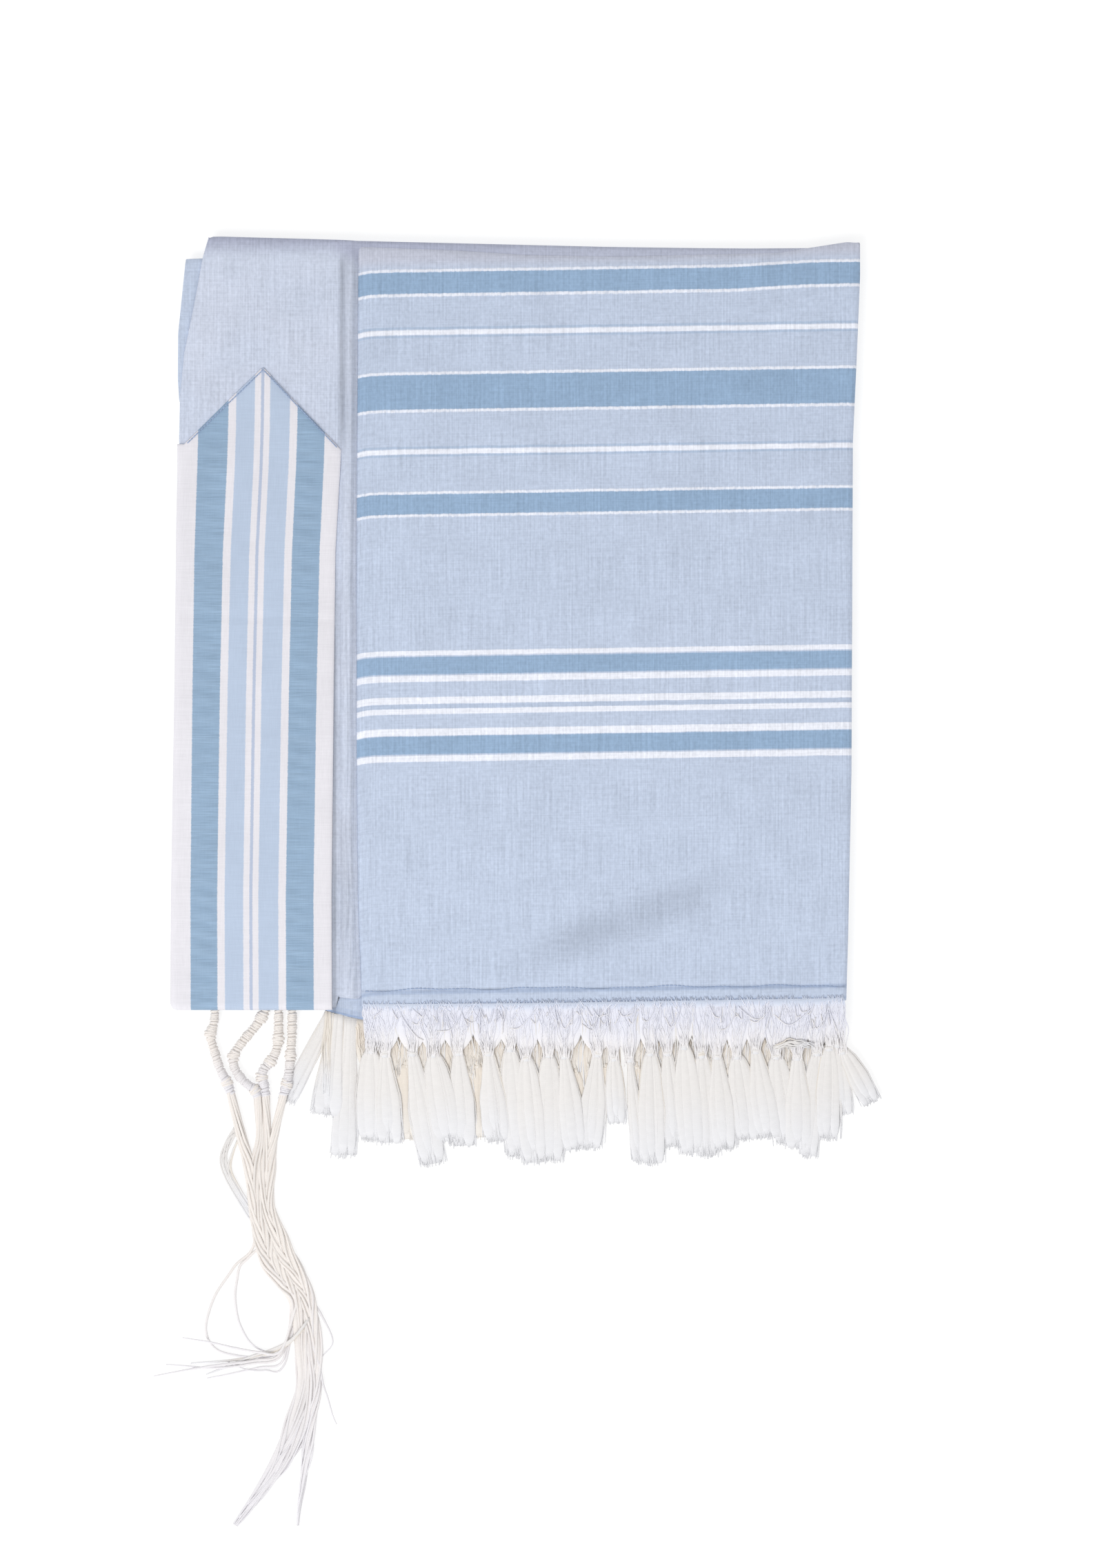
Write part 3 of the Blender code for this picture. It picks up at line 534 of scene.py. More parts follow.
# %% Levels and the turn of a fold
CORE_TOP, SEAM = 5.8, 0.3
LAYER_WALL, PANEL_WALL, BAND_WALL = 1.2, 1.3, 1.0
BACK_TOP = CORE_TOP + SEAM + LAYER_WALL
NECK_TOP = BACK_TOP + SEAM + LAYER_WALL
END_TOP = NECK_TOP + SEAM + PANEL_WALL
BAND_LIFT = SEAM + BAND_WALL
NECK_FOLD = NECK_TOP - CORE_TOP - SEAM
BAND_FOLD = NECK_FOLD + BAND_LIFT
END_FOLD = 3.2
QUARTER_TURN = math.pi / 2
CORNER_CUT = 0.3
WAVE_HEIGHT, WAVE_ACROSS, WAVE_ALONG, WAVE_START = 0.4, 340.0, 400.0, 0.6
COTTON_THICKNESS, RIBBON_THICKNESS = 1.0, 0.8


def wave(x, y):
    """The soft rise that all the layers share."""
    swell = np.sin(x / WAVE_ACROSS * math.tau + WAVE_START) * np.sin(y / WAVE_ALONG * math.tau)
    return WAVE_HEIGHT * (0.5 + 0.5 * swell)


def turned(x, y, z, across, along, radius, fullness):
    """Points turned down round a fold by an angle, across it or along it, with how full the turn is."""
    side, end = (np.clip(angle, -QUARTER_TURN, QUARTER_TURN) for angle in (across, along))
    corner = 1 - CORNER_CUT * np.abs(np.sin(side) * np.sin(end))
    drop = radius * (1 - np.cos(side) * np.cos(end)) * fullness
    drop = drop + np.maximum(np.abs(across) - QUARTER_TURN, 0) * radius
    out_x, out_y = radius * np.sin(side) * corner, radius * np.sin(end) * corner
    return np.stack((x + out_x, y + out_y, z - drop), axis=-1)


print("levels:", BACK_TOP, NECK_TOP, END_TOP)

# %% [markdown]
# ## The end panel
#
# This is the end of the cloth, brought to the front by the last fold. It turns down over the right side
# of the pile, and its lower edge is a turned hem, sewn with a wavy line of stitches. Its creases are few
# and soft: one long slanting trough near the bottom, faint ones left by older folds, and small puckers
# above the hem.

# %% Edges and creases of the end panel
END_LEFT = ((371.0, -91.2), (209.4, -92.2), (76.8, -92.2), (-7.6, -91.4), (-63.9, -89.4), (-72.0, -89.4))
END_RIGHT = ((376.0, 201.0), (354.2, 201.0), (305.9, 199.0), (257.7, 196.8), (161.2, 196.4),
             (64.7, 196.0), (-31.8, 194.0), (-72.0, 192.8))
END_TOP_EDGE = ((0.0, 371.0), (0.19, 369.0), (0.34, 366.2), (0.52, 365.4), (0.85, 367.5), (0.9, 369.8),
                (0.96, 372.5), (0.985, 373.6), (1.0, 373.2))
HEM_LINE = ((0.0, -62.7), (0.2, -61.5), (0.4, -61.1), (0.75, -59.9), (1.0, -59.9))
HEM_EDGE = ((0.0, -71.6), (0.4, -70.8), (0.75, -69.1), (1.0, -67.9))
PANEL_CREASES = (
    (4.0, -47.0, 112.0, -4.0, 9.0, -0.45),
    (-6.0, -26.0, 96.0, 18.0, 11.0, 0.6),
    (30.0, -62.0, 150.0, -18.0, 10.0, 0.5),
    (158.0, -52.0, 180.0, 8.0, 9.0, -0.35),
    (-60.0, -40.0, 20.0, -22.0, 10.0, 0.4),
    (-80.0, 40.0, -30.0, 62.0, 12.0, -0.4),
    (-10.0, 168.0, 70.0, 186.0, 15.0, -0.35),
    (80.0, 150.0, 190.0, 172.0, 12.0, 0.35),
    (-70.0, 255.0, 40.0, 268.0, 10.0, 0.3),
    (60.0, 310.0, 180.0, 330.0, 12.0, -0.4),
    (120.0, 190.0, 132.0, 330.0, 9.0, 0.25),
    (-40.0, 60.0, -30.0, 210.0, 9.0, -0.25),
)
PUCKER_FOOT, PUCKER_COUNT = -57.0, 31
rng = np.random.default_rng(18)
PUCKERS = [(x, PUCKER_FOOT, x + rng.uniform(-3, 3), PUCKER_FOOT + rng.uniform(8, 24),
            rng.uniform(2.0, 3.6), -rng.uniform(0.1, 0.32))
           for x in np.arange(-86.0, 190.0, 9.0) + rng.uniform(-3, 3, PUCKER_COUNT)]
print("creases:", len(PANEL_CREASES), "and", len(PUCKERS), "puckers")

# %% Make the end panel
PANEL_COLUMNS, TURN_COLUMNS, PANEL_ROWS = 124, 9, 165
STRIPE_SLOPE, STRIPE_MIDDLE = 0.0156, 21.0
TOP_BEND = 2.1
EDGE_PULL, EDGE_REACH = 1.6, 4.8


def hem_wave(x):
    """How far the hem's seam wanders up and down."""
    return 0.5 * np.sin(x * 0.09) + 0.35 * np.sin(x * 0.21 + 1.3)


def end_panel():
    """The upper face of the end panel, from the hem's edge to the top fold, and round the right fold."""
    share = np.concatenate((np.linspace(0, 1, PANEL_COLUMNS), np.ones(TURN_COLUMNS)))
    round_fold = np.linspace(0.15, 1.0, TURN_COLUMNS - 2) * QUARTER_TURN
    turn = np.concatenate((np.zeros(PANEL_COLUMNS), round_fold, (2.0, 2.6)))
    rise = np.concatenate((np.linspace(-1, -0.12, 5), (-0.06, 0.0), np.linspace(0.004, 0.05, 18),
                           np.linspace(0.055, 1, PANEL_ROWS)))
    share, rise = np.meshgrid(share, rise)
    turn = np.broadcast_to(turn, share.shape)
    hem, edge, top = (along_table(table, share) for table in (HEM_LINE, HEM_EDGE, END_TOP_EDGE))
    y = np.where(rise < 0, hem + (edge - hem) * -rise, hem + (top - hem) * rise)
    left, right = along_table(END_LEFT, y), along_table(END_RIGHT, y) - END_FOLD
    x = left + (right - left) * share
    y = y + hem_wave(x) * np.exp(-((rise / 0.02) ** 2)) * (1 - turn / 3)
    lip = np.where(rise < 0, 0.6 * eased(-rise, 0.0, 0.2), 0)
    groove = -0.3 * np.exp(-((rise / 0.004) ** 2))
    inner = eased(share, 0.0, 0.03) * (1 - eased(turn, 0, 0.6)) * (1 - eased(rise, 0.96, 1.0))
    relief = (creased(x, y, PANEL_CREASES) + creased(x, y, PUCKERS)) * inner
    flop = -1.3 * eased(rise, 0.985, 1.0) - 0.5 * (1 - eased(share, 0.0, 0.012))
    z = END_TOP + wave(x, y) + lip + groove * (1 - eased(share, 0.99, 1)) + relief
    z = z + flop * (1 - eased(turn, 0, 1))
    points = turned(x, y, z, turn, np.zeros_like(turn), END_FOLD, 1)
    bend = TOP_BEND * eased(y, 326, 344) * eased(x, 117, 181)
    pull = EDGE_PULL * np.exp(-(x - left) / EDGE_REACH)
    woven = y - STRIPE_SLOPE * (x - STRIPE_MIDDLE) - bend + pull
    weave = np.stack((x + turn * END_FOLD, woven), axis=-1)
    return make_shell("end_panel", points, weave, COTTON_THICKNESS, panel_cotton)


panel = end_panel()
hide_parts("striped_end")

# %% [markdown]
# ## The neck cloth and its ridge
#
# Under the neckband lies the next layer. It turns down over the left and the bottom of the pile, and
# beside the end panel it is pushed up into a narrow ridge with long wrinkles. The grid has more columns
# there.

# %% Edges of the neck cloth
NECK_LEFT = ((377.5, -178.3), (363.8, -182.3), (335.3, -187.5), (309.5, -192.8), (283.8, -195.2),
             (256.1, -195.8), (209.4, -196.8), (113.0, -197.9), (-7.6, -199.9), (-72.8, -200.3))
VALLEY = ((365.4, -102.4), (265.7, -101.4), (193.4, -103.2), (-63.9, -103.4))
RIDGE_END = ((365.4, -92.8), (265.7, -93.8), (113.0, -94.6), (-7.6, -93.6), (-65.0, -91.8))
NECK_RIGHT = ((377.5, 196.0), (257.0, 192.4), (65.0, 191.6), (-80.0, 188.0))
NECK_TOP_EDGE = ((0.0, 377.4), (0.066, 377.5), (1.0, 375.6), (2.0, 375.0), (2.52, 371.4), (2.77, 370.5),
                 (3.0, 370.9))
NECK_BOTTOM = ((0.0, -72.8), (0.985, -72.8), (1.0, -66.0), (2.0, -67.0), (2.04, -58.0), (3.0, -56.0))
RIDGE_HEIGHT = 2.9
RIDGE_PROFILE = ((0.0, 0.0), (0.12, 0.14), (0.28, 0.7), (0.44, 0.95), (0.6, 1.0), (0.75, 0.84),
                 (0.88, 0.4), (1.0, 0.0))
RIDGE_RISE = ((380.0, 0.1), (368.0, 0.3), (356.0, 0.85), (330.0, 1.0), (-40.0, 1.0), (-70.0, 0.8))
NECK_CREASES = (
    (-186.0, 362.0, -120.0, 352.0, 8.0, -0.35),
    (-176.0, 300.0, -168.0, 344.0, 6.0, -0.3),
    (-150.0, 330.0, -112.0, 322.0, 9.0, 0.3),
    (-118.0, 262.0, -106.0, 310.0, 5.0, -0.35),
    (-190.0, 268.0, -160.0, 290.0, 7.0, 0.25),
)
RIDGE_WRINKLES = (
    (-98.0, 330.0, -97.0, 372.0, 1.2, -0.6),
    (-96.5, 250.0, -98.5, 318.0, 1.0, -0.7),
    (-99.0, 180.0, -96.8, 240.0, 1.1, -0.55),
    (-97.2, 96.0, -98.6, 168.0, 0.9, -0.7),
    (-98.8, 20.0, -96.6, 88.0, 1.1, -0.8),
    (-95.6, -18.0, -98.6, 40.0, 0.9, -0.7),
    (-100.4, -56.0, -95.6, -6.0, 1.2, -1.0),
    (-97.6, -66.0, -93.6, -40.0, 1.0, -0.8),
    (-101.6, -40.0, -99.0, 4.0, 0.8, 0.4),
)
print("wrinkles on the ridge:", len(RIDGE_WRINKLES))

# %% Turn a sheet over the left and bottom folds
def fold_fullness(zone, y, across, along):
    """How far the neck cloth turns down at a place on its folds, from 0 to 1."""
    total = np.maximum(across ** 2 + along ** 2, 1e-9)
    side = across ** 2 / total
    foot = np.where(along < 0, 1 - eased(zone, 0.985, 1.0), 1)
    flank = 1 - eased(y, 230, 260)
    return foot + (flank - foot) * side


TURN_ROWS = 6
TURN_STEPS = np.linspace(1 / TURN_ROWS, 1, TURN_ROWS) * QUARTER_TURN


def neck_grid(zones, rises):
    """Zones and turns across, rises and turns along, as grids of the same shape."""
    zone = np.concatenate((np.full(TURN_ROWS, zones[0]), zones))
    across = np.concatenate((-TURN_STEPS[::-1], np.zeros(len(zones))))
    rise = np.concatenate((np.full(TURN_ROWS, rises[0]), rises))
    along = np.concatenate((-TURN_STEPS[::-1], np.zeros(len(rises))))
    return (*np.meshgrid(zone, rise), *np.meshgrid(across, along))


print("steps round a fold:", np.round(np.degrees(TURN_STEPS)), "degrees")


# %% Make the neck cloth
def neck_cloth():
    """The upper face of the neck cloth."""
    zones = np.concatenate((np.linspace(0, 0.985, 46), np.linspace(1.0, 2.0, 30), (2.04, 2.1),
                            np.linspace(2.2, 3, 9)))
    zone, rise, across, along = neck_grid(zones, np.linspace(0, 1, 210))
    zone, across = (np.vstack((grid, np.repeat(grid[-1:], TURN_ROWS, axis=0))) for grid in (zone, across))
    rise = np.vstack((rise, np.ones((TURN_ROWS, rise.shape[1]))))
    along = np.vstack((along, np.repeat(TURN_STEPS[:, None], along.shape[1], axis=1)))
    bottom = along_table(NECK_BOTTOM, zone) + NECK_FOLD
    top = along_table(NECK_TOP_EDGE, zone) - NECK_FOLD
    y = bottom + (top - bottom) * rise
    lines = [along_table(NECK_LEFT, y) + NECK_FOLD, along_table(VALLEY, y), along_table(RIDGE_END, y),
             along_table(NECK_RIGHT, y)]
    in_zone = [a + (b - a) * (zone - n) for n, (a, b) in enumerate(zip(lines, lines[1:]))]
    x = np.choose(np.clip(zone.astype(int), 0, 2), in_zone)
    ridge = RIDGE_HEIGHT * along_table(RIDGE_RISE, y) * along_table(RIDGE_PROFILE, zone - 1)
    on_ridge = eased(zone, 1.0, 1.15) * (1 - eased(zone, 1.85, 2.0))
    relief = creased(x, y, NECK_CREASES) * (1 - eased(zone, 0.9, 1.0)) * eased(y, 255, 270)
    relief = relief + creased(x, y, RIDGE_WRINKLES) * on_ridge
    z = NECK_TOP + wave(x, y) + ridge + relief
    points = turned(x, y, z, across, along, NECK_FOLD, fold_fullness(zone, y, across, along))
    weave = np.stack((x + across * NECK_FOLD, y + along * NECK_FOLD), axis=-1)
    return make_shell("neck_cloth", points, weave, COTTON_THICKNESS, neck_cotton)


neck = neck_cloth()
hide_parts("neck_stretch")

# %% [markdown]
# ## The neckband
#
# The neckband is sewn down over the neck cloth, with a pointed end. The stitching along its dark stripes
# draws it into small even puckers, and one shallow crease crosses it where the cloth was once folded.

# %% Make the neckband
BAND_RIGHT = ((252.5, -101.8), (193.4, -105.2), (113.0, -106.2), (-7.6, -107.4), (-74.0, -107.2))
BAND_POINT = ((0.0, 255.7), (0.49, 300.7), (1.0, 252.5))
BAND_DRIFT = ((-64.0, -1.6), (-7.6, -1.8), (113.0, 0.0), (193.4, 1.8), (243.0, 4.2), (265.7, 4.9),
              (300.0, 5.3))
PUCKER_STEP, PUCKER_HEIGHT = 10.5, 0.26
FOLD_CREASE = (-0.5, 155.0, 0.04, 3.0)  # height, y at x = -150, slope, width


def neckband():
    """The upper face of the neckband, from its pointed end to the bottom fold."""
    share, rise, across, along = neck_grid(np.linspace(0, 1, 68), np.linspace(0, 1, 262))
    bottom, top = NECK_BOTTOM[0][1] + NECK_FOLD, along_table(BAND_POINT, share)
    y = bottom + (top - bottom) * rise
    left, right = along_table(NECK_LEFT, y) + NECK_FOLD, along_table(BAND_RIGHT, y)
    x = left + (right - left) * share
    place = x - along_table(BAND_DRIFT, y) * (0.65 + 0.35 * eased(x, -190, -165))
    dark = sum(np.exp(-(((place - (low + high) / 2) / 7) ** 4)) for low, high in BAND_DARK)
    sag = 0.6 * np.sin(place * 0.35)
    pucker = np.sin((y + sag + 1.2 * np.sin(y * 0.031)) / PUCKER_STEP * math.tau)
    strength = 0.5 + 0.5 * np.sin(y * 0.047 + place * 0.02)
    depth, crease_y, slope, width = FOLD_CREASE
    crease = depth * np.exp(-(((y - crease_y + slope * (x + 150)) / width) ** 2))
    inner = (1 - eased(rise, 0.97, 1)) * (1 - eased(np.maximum(np.abs(across), np.abs(along)), 0, 0.5))
    edge_dip = -0.45 * (1 - eased(1 - share, 0, 0.03)) - 0.35 * eased(rise, 0.985, 1)
    relief = (dark * pucker * PUCKER_HEIGHT * (0.35 + strength) + crease) * inner + edge_dip
    z = NECK_TOP + wave(x, y) + BAND_LIFT + relief
    points = turned(x, y, z, across, along, BAND_FOLD, fold_fullness(0 * share, y, across, along))
    weave = np.stack((place + across * BAND_FOLD, y + along * BAND_FOLD), axis=-1)
    return make_shell("neckband", points, weave, RIBBON_THICKNESS, ribbon)


band = neckband()
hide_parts("atarah")

# %% [markdown]
# ## The second layer and the pile
#
# Only a sliver of the second layer shows at the top left, and its hem below the ridge. The rest of the
# pile is three folded layers, seen only from the side. Their edges are drawn as rings that bulge once for
# each layer.

# %% Make the second layer
BACK_LEFT = ((364.0, -192.0), (321.0, -196.4), (294.0, -196.6), (282.0, -195.8), (264.0, -191.6),
             (209.0, -192.6), (33.0, -194.8), (-80.0, -196.2))
BACK_RIGHT = ((364.0, 196.6), (257.0, 192.8), (65.0, 192.0), (-80.0, 188.6))
BACK_TOP_EDGE = ((0.0, 363.8), (0.06, 364.6), (1.0, 361.0))
BACK_HEM = ((-200.0, -66.5), (-112.5, -66.5), (-110.7, -74.2), (-101.9, -76.4), (-89.4, -79.2),
            (190.0, -77.6))


def second_layer():
    """The upper face of the second layer."""
    share = np.concatenate((np.linspace(0, 0.08, 10), np.linspace(0.1, 0.215, 5),
                            np.linspace(0.2165, 0.2215, 4), np.linspace(0.224, 0.3, 16),
                            np.linspace(0.33, 1, 12)))
    rise = np.concatenate((np.linspace(0, 0.04, 16), np.linspace(0.06, 0.7, 24), np.linspace(0.71, 1, 50)))
    share, rise = np.meshgrid(share, rise)
    low = BACK_HEM[0][1]
    base_left, base_right = along_table(BACK_LEFT, low), along_table(BACK_RIGHT, low)
    hem = along_table(BACK_HEM, base_left + (base_right - base_left) * share)
    y = hem + (along_table(BACK_TOP_EDGE, share) - hem) * rise
    left, right = along_table(BACK_LEFT, y), along_table(BACK_RIGHT, y)
    x = left + (right - left) * share
    droop = 0.8 * np.clip((-66.0 - y) / 9, 0, 1)
    stitched = -0.35 * np.exp(-(((y + 70.0) / 1.2) ** 2)) * eased(share, 0.222, 0.23)
    points = np.stack((x, y, BACK_TOP + wave(x, y) - droop + stitched), axis=-1)
    return make_shell("second_layer", points, points[..., :2], COTTON_THICKNESS, pile_cotton)


layer = second_layer()
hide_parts("back_layer")

# %% Make the folded pile
PILE_CORNERS = (  # x, y, length of the curve on each side of the corner
    (-176.4, 373.6, 3.0), (-183.4, 361.6, 2.0), (-190.6, 361.0, 3.0), (-195.4, 292.0, 20.0),
    (-196.3, 209.0, 20.0), (-197.2, 110.0, 20.0), (-199.6, -71.6, 6.0), (-108.0, -71.6, 3.0),
    (-100.0, -65.5, 3.0), (191.6, -65.5, 7.0), (194.8, 16.0, 20.0), (195.6, 160.0, 20.0),
    (196.0, 257.0, 20.0), (199.8, 345.0, 10.0), (199.8, 367.0, 6.0), (146.0, 369.2, 20.0),
    (61.0, 371.2, 20.0), (-115.0, 375.2, 20.0),
)
PILE_LAYERS = 3
PILE_POINTS = 420
LAYER_BULGE = ((0.02, 1.5), (0.12, 0.8), (0.3, 0.25), (0.5, 0.1), (0.7, 0.25), (0.88, 0.8))  # share, inset


def pile_outline():
    """The outline of the pile, anticlockwise, its corners cut to curves, as evenly spaced points."""
    corners = np.array(PILE_CORNERS)
    path = []
    for i, (x, y, reach) in enumerate(corners):
        here = np.array((x, y))
        ways = [corners[k][:2] - here for k in (i - 1, (i + 1) % len(corners))]
        ends = [here + way / np.hypot(*way) * reach for way in ways]
        for share in np.linspace(0, 1, 7):
            start, end = ends[0] + (here - ends[0]) * share, here + (ends[1] - here) * share
            path.append(start + (end - start) * share)
    path = np.array(path + path[:1])
    reached = np.concatenate(([0], np.cumsum(np.hypot(*np.diff(path, axis=0).T))))
    wanted = np.linspace(0, reached[-1], PILE_POINTS, endpoint=False)
    return np.column_stack([np.interp(wanted, reached, path[:, axis]) for axis in (0, 1)])


def folded_pile():
    """Three folded layers as one closed form: rings up its edge, and a flat fan above and below."""
    outline = pile_outline()
    run = np.roll(outline, -1, axis=0) - np.roll(outline, 1, axis=0)
    inward = np.stack((-run[:, 1], run[:, 0]), axis=-1) / np.hypot(*run.T)[:, None]
    height = CORE_TOP / PILE_LAYERS
    levels = [((n + share) * height, inset) for n in range(PILE_LAYERS) for share, inset in LAYER_BULGE]
    levels[0] = (0.0, LAYER_BULGE[0][1])
    levels += [(CORE_TOP - 0.1, 1.6), (CORE_TOP, 2.6)]
    rings = [np.column_stack((outline + inward * inset, np.full(PILE_POINTS, z))) for z, inset in levels]
    centre = outline.mean(axis=0)
    top_edge = rings[-1][:, :2]
    for share in (0.9, 0.6, 0.3):
        ring = centre + (top_edge - centre) * share
        rings.append(np.column_stack((ring, np.full(PILE_POINTS, CORE_TOP))))
    points = np.concatenate(rings + [[(*centre, CORE_TOP)], [(*centre, 0.0)]])
    faces = []
    for k in range(len(rings) - 1):
        for n in range(PILE_POINTS):
            m = (n + 1) % PILE_POINTS
            a, b = k * PILE_POINTS, (k + 1) * PILE_POINTS
            faces.append([a + n, a + m, b + m, b + n])
    last, top, bottom = (len(rings) - 1) * PILE_POINTS, len(points) - 2, len(points) - 1
    for n in range(PILE_POINTS):
        m = (n + 1) % PILE_POINTS
        faces.append([last + n, last + m, top])
        faces.append([m, n, bottom])
    weave = points[:, :2] + points[:, 2:] * 2.0
    return make_piece("folded_pile", points, faces, pile_cotton, {"cloth": weave})


pile = folded_pile()
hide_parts("core_layers")

# %% [markdown]
# ## Threads as tubes
#
# Fringe, cords and stitches are all threads. A curve object with a bevel could make each one, but
# thousands of curves are slow to keep, so one small class lays many thin tubes into one mesh. Each tube
# follows a path, with its own thickness along it and closed ends, and carries two maps: round and along
# it in millimetres, and a random shade with the share of its length.

# %% Lay threads into one mesh
def curve_through(points, step):
    """A smooth path through points, with a point about every step."""
    points = np.asarray(points, dtype=float)
    padded = np.vstack((2 * points[0] - points[1], points, 2 * points[-1] - points[-2]))
    path = []
    for k in range(1, len(padded) - 2):
        before, here, after, later = padded[k - 1:k + 3]
        count = max(2, int(np.linalg.norm(after - here) / step))
        for t in np.linspace(0, 1, count, endpoint=False):
            slope = (after - before) * t
            bend = (2 * before - 5 * here + 4 * after - later) * t ** 2
            swing = (3 * here - before - 3 * after + later) * t ** 3
            path.append(0.5 * (2 * here + slope + bend + swing))
    path.append(padded[-2])
    return np.array(path)


class Threads:
    """Many thin tubes in one mesh."""

    def __init__(self):
        self.points, self.faces, self.weave, self.shades = [], [], [], []

    def lay(self, path, radius, shade, sides=5, flat=1.0):
        """Adds a tube along a path of points. flat squeezes it towards the table."""
        path = np.asarray(path, dtype=float)
        count = len(path)
        radius, flat = np.broadcast_to(radius, count), np.broadcast_to(flat, count)
        run = np.gradient(path, axis=0)
        run /= np.maximum(np.linalg.norm(run, axis=1, keepdims=True), 1e-9)
        side = np.cross(run[0], (0, 0, 1)) if abs(run[0][2]) < 0.9 else np.cross(run[0], (1, 0, 0))
        angles = np.arange(sides) / sides * math.tau
        reached = np.concatenate(([0], np.cumsum(np.linalg.norm(np.diff(path, axis=0), axis=1))))
        start = len(self.points)
        for n in range(count):
            side = side - run[n] * np.dot(side, run[n])
            side = side / np.linalg.norm(side)
            up = np.cross(side, run[n])
            spokes = np.outer(np.cos(angles), side) + np.outer(np.sin(angles), up) * flat[n]
            self.points.extend(path[n] + radius[n] * spokes)
            self.weave.extend((k / sides, reached[n]) for k in range(sides))
            self.shades.extend([(shade, reached[n] / reached[-1])] * sides)
        for n in range(count - 1):
            a, b = start + n * sides, start + (n + 1) * sides
            for k in range(sides):
                m = (k + 1) % sides
                self.faces.append([a + k, b + k, b + m, a + m])
        self.faces.append([start + k for k in range(sides)])
        self.faces.append([start + (count - 1) * sides + k for k in reversed(range(sides))])

    def make(self, name, material, slot):
        """Turns the threads into a piece."""
        maps = {"cloth": self.weave, "shade": self.shades}
        return make_piece(name, self.points, self.faces, material, maps)


print("points on a path of 10 mm:", len(curve_through(((0, 0), (10, 0)), 1.0)))


# %% [markdown]
# ## Yarn finishes
#
# The fringe is soft cotton yarn. At the hem it still has some of the cloth's blue, then it is white, and
# its tips are faintly blue-grey. The layer below has a creamier fringe, which mostly shows in the gaps.
# The corner cords are spun wool, warmer and duller. Each thread has its own shade, and a fine slanting
# bump gives its twist.

# %% Spin the yarns
MOTTLE = 0.08
PLY_RELIEF, PLY_STRENGTH = 0.05, 0.25


def yarn(name, near, far, shade_depth, twist, cream=0.0, root=None):
    """Yarn that goes from one colour to another along its length, with creamy threads, partly painted
    shade.
    """
    finish = Finish(name, Roughness=0.9, Sheen_Weight=0.15, Sheen_Roughness=0.5)
    round_it, along = finish.woven_place()
    shade, share = finish.woven_place("shade")
    colour = finish.blend(finish.ease(share, 0.35, 1.0), near, far)
    if root:
        colour = finish.blend(finish.ease(share, 0.02, 0.22), root, colour)
    # Threads with a high shade number turn creamy near their start. Among a tassel's strands only the edge
    # ones get such numbers, so there the cream is painted shade between the tassels; on knots and loose
    # threads it is a random tone.
    creamy = finish.ease(shade, 0.68, 0.95) * (1 - finish.ease(share, 0.4, 0.85))
    colour = finish.blend(creamy * cream, colour, FRINGE_STREAK_AND_SHADE)
    mottle = finish.noise(round_it * 3 + shade * 50, along * 0.35, 3.0)
    light = 1 + (shade - 0.5) * shade_depth + (mottle - 0.5) * MOTTLE
    turn = (round_it * 2 + along * twist) * math.tau
    plies = finish.node("ShaderNodeMath", {"operation": "SINE"}, {0: turn})
    relief = finish.bump(plies * PLY_RELIEF, 1.0, PLY_STRENGTH)
    return finish.wear(Base_Color=finish.shade(colour, light), Normal=relief)


fringe_yarn = yarn("fringe_yarn", FRINGE_WHITE, FRINGE_SHADE, 0.06, 0.8, 0.7)
fan_yarn = yarn("fan_yarn", FAN_BLUE, FAN_WHITE, 0.08, 0.8, root=FAN_ROOT)
cream_yarn = yarn("cream_yarn", FRINGE_TAN, FRINGE_CREAM, 0.08, 0.8)
wool = yarn("spun_wool", WOOL, WOOL_TIP, 0.08, 0.5)
print("yarns:", [material.name for material in (fringe_yarn, fan_yarn, cream_yarn, wool)])

# %% [markdown]
# ## The fringe
#
# The fringe is the cloth's own warp. Past the hem its loose threads are gathered in groups and knotted,
# and below each knot they fall free as a soft tassel. Each tassel is built as it is made: a fan of curved
# threads from the hem, a small knot, soft locks that fill the middle, and many fine strands over them
# with ragged ends. A drape table gives the height of the threads, from the hem on top of the pile down to
# the table.

# %% Places of the tassels
FRONT_TASSELS = (  # knot x, knot y, tip x, tip y
    (-84.6, -96.5, -84.2, -151.6), (-76.4, -98.5, -73.6, -153.2), (-60.5, -97.7, -48.0, -166.0),
    (-48.0, -98.9, -39.2, -152.4), (-33.6, -97.7, -30.5, -155.2), (-15.9, -97.7, -10.3, -152.4),
    (-3.4, -95.3, 1.8, -161.2), (6.2, -100.9, 11.5, -165.2), (19.1, -98.9, 21.1, -164.0),
    (28.3, -99.7, 35.4, -157.2), (47.6, -98.5, 44.0, -156.4), (57.2, -101.0, 59.4, -141.1),
    (66.6, -101.4, 72.2, -164.4), (78.6, -97.7, 80.2, -165.6), (88.6, -97.7, 93.5, -155.6),
    (98.3, -94.1, 103.4, -159.6), (108.7, -98.9, 112.6, -161.2), (117.6, -99.7, 122.8, -157.2),
    (129.2, -99.7, 136.1, -151.2), (140.1, -96.5, 148.1, -149.9), (152.2, -99.7, 158.8, -153.2),
    (164.5, -100.5, 165.8, -156.0), (176.0, -97.7, 171.0, -161.2), (183.1, -94.5, 182.3, -150.8),
    (187.6, -93.0, 192.0, -136.0), (191.0, -97.0, 208.6, -129.0),
)
FRONT_DRAPE = ((-66.0, 10.0), (-71.0, 9.9), (-79.0, 8.7), (-88.0, 6.9), (-97.0, 4.9), (-104.0, 4.1),
               (-120.0, 3.4), (-134.0, 2.9), (-144.0, 2.1), (-154.0, 1.4), (-170.0, 1.1))
UNDER_TASSELS = ((-107.4, -75.6, -134.0, -128.5), (-104.4, -76.2, -110.6, -137.0),
                 (-96.6, -78.2, -101.0, -161.0))
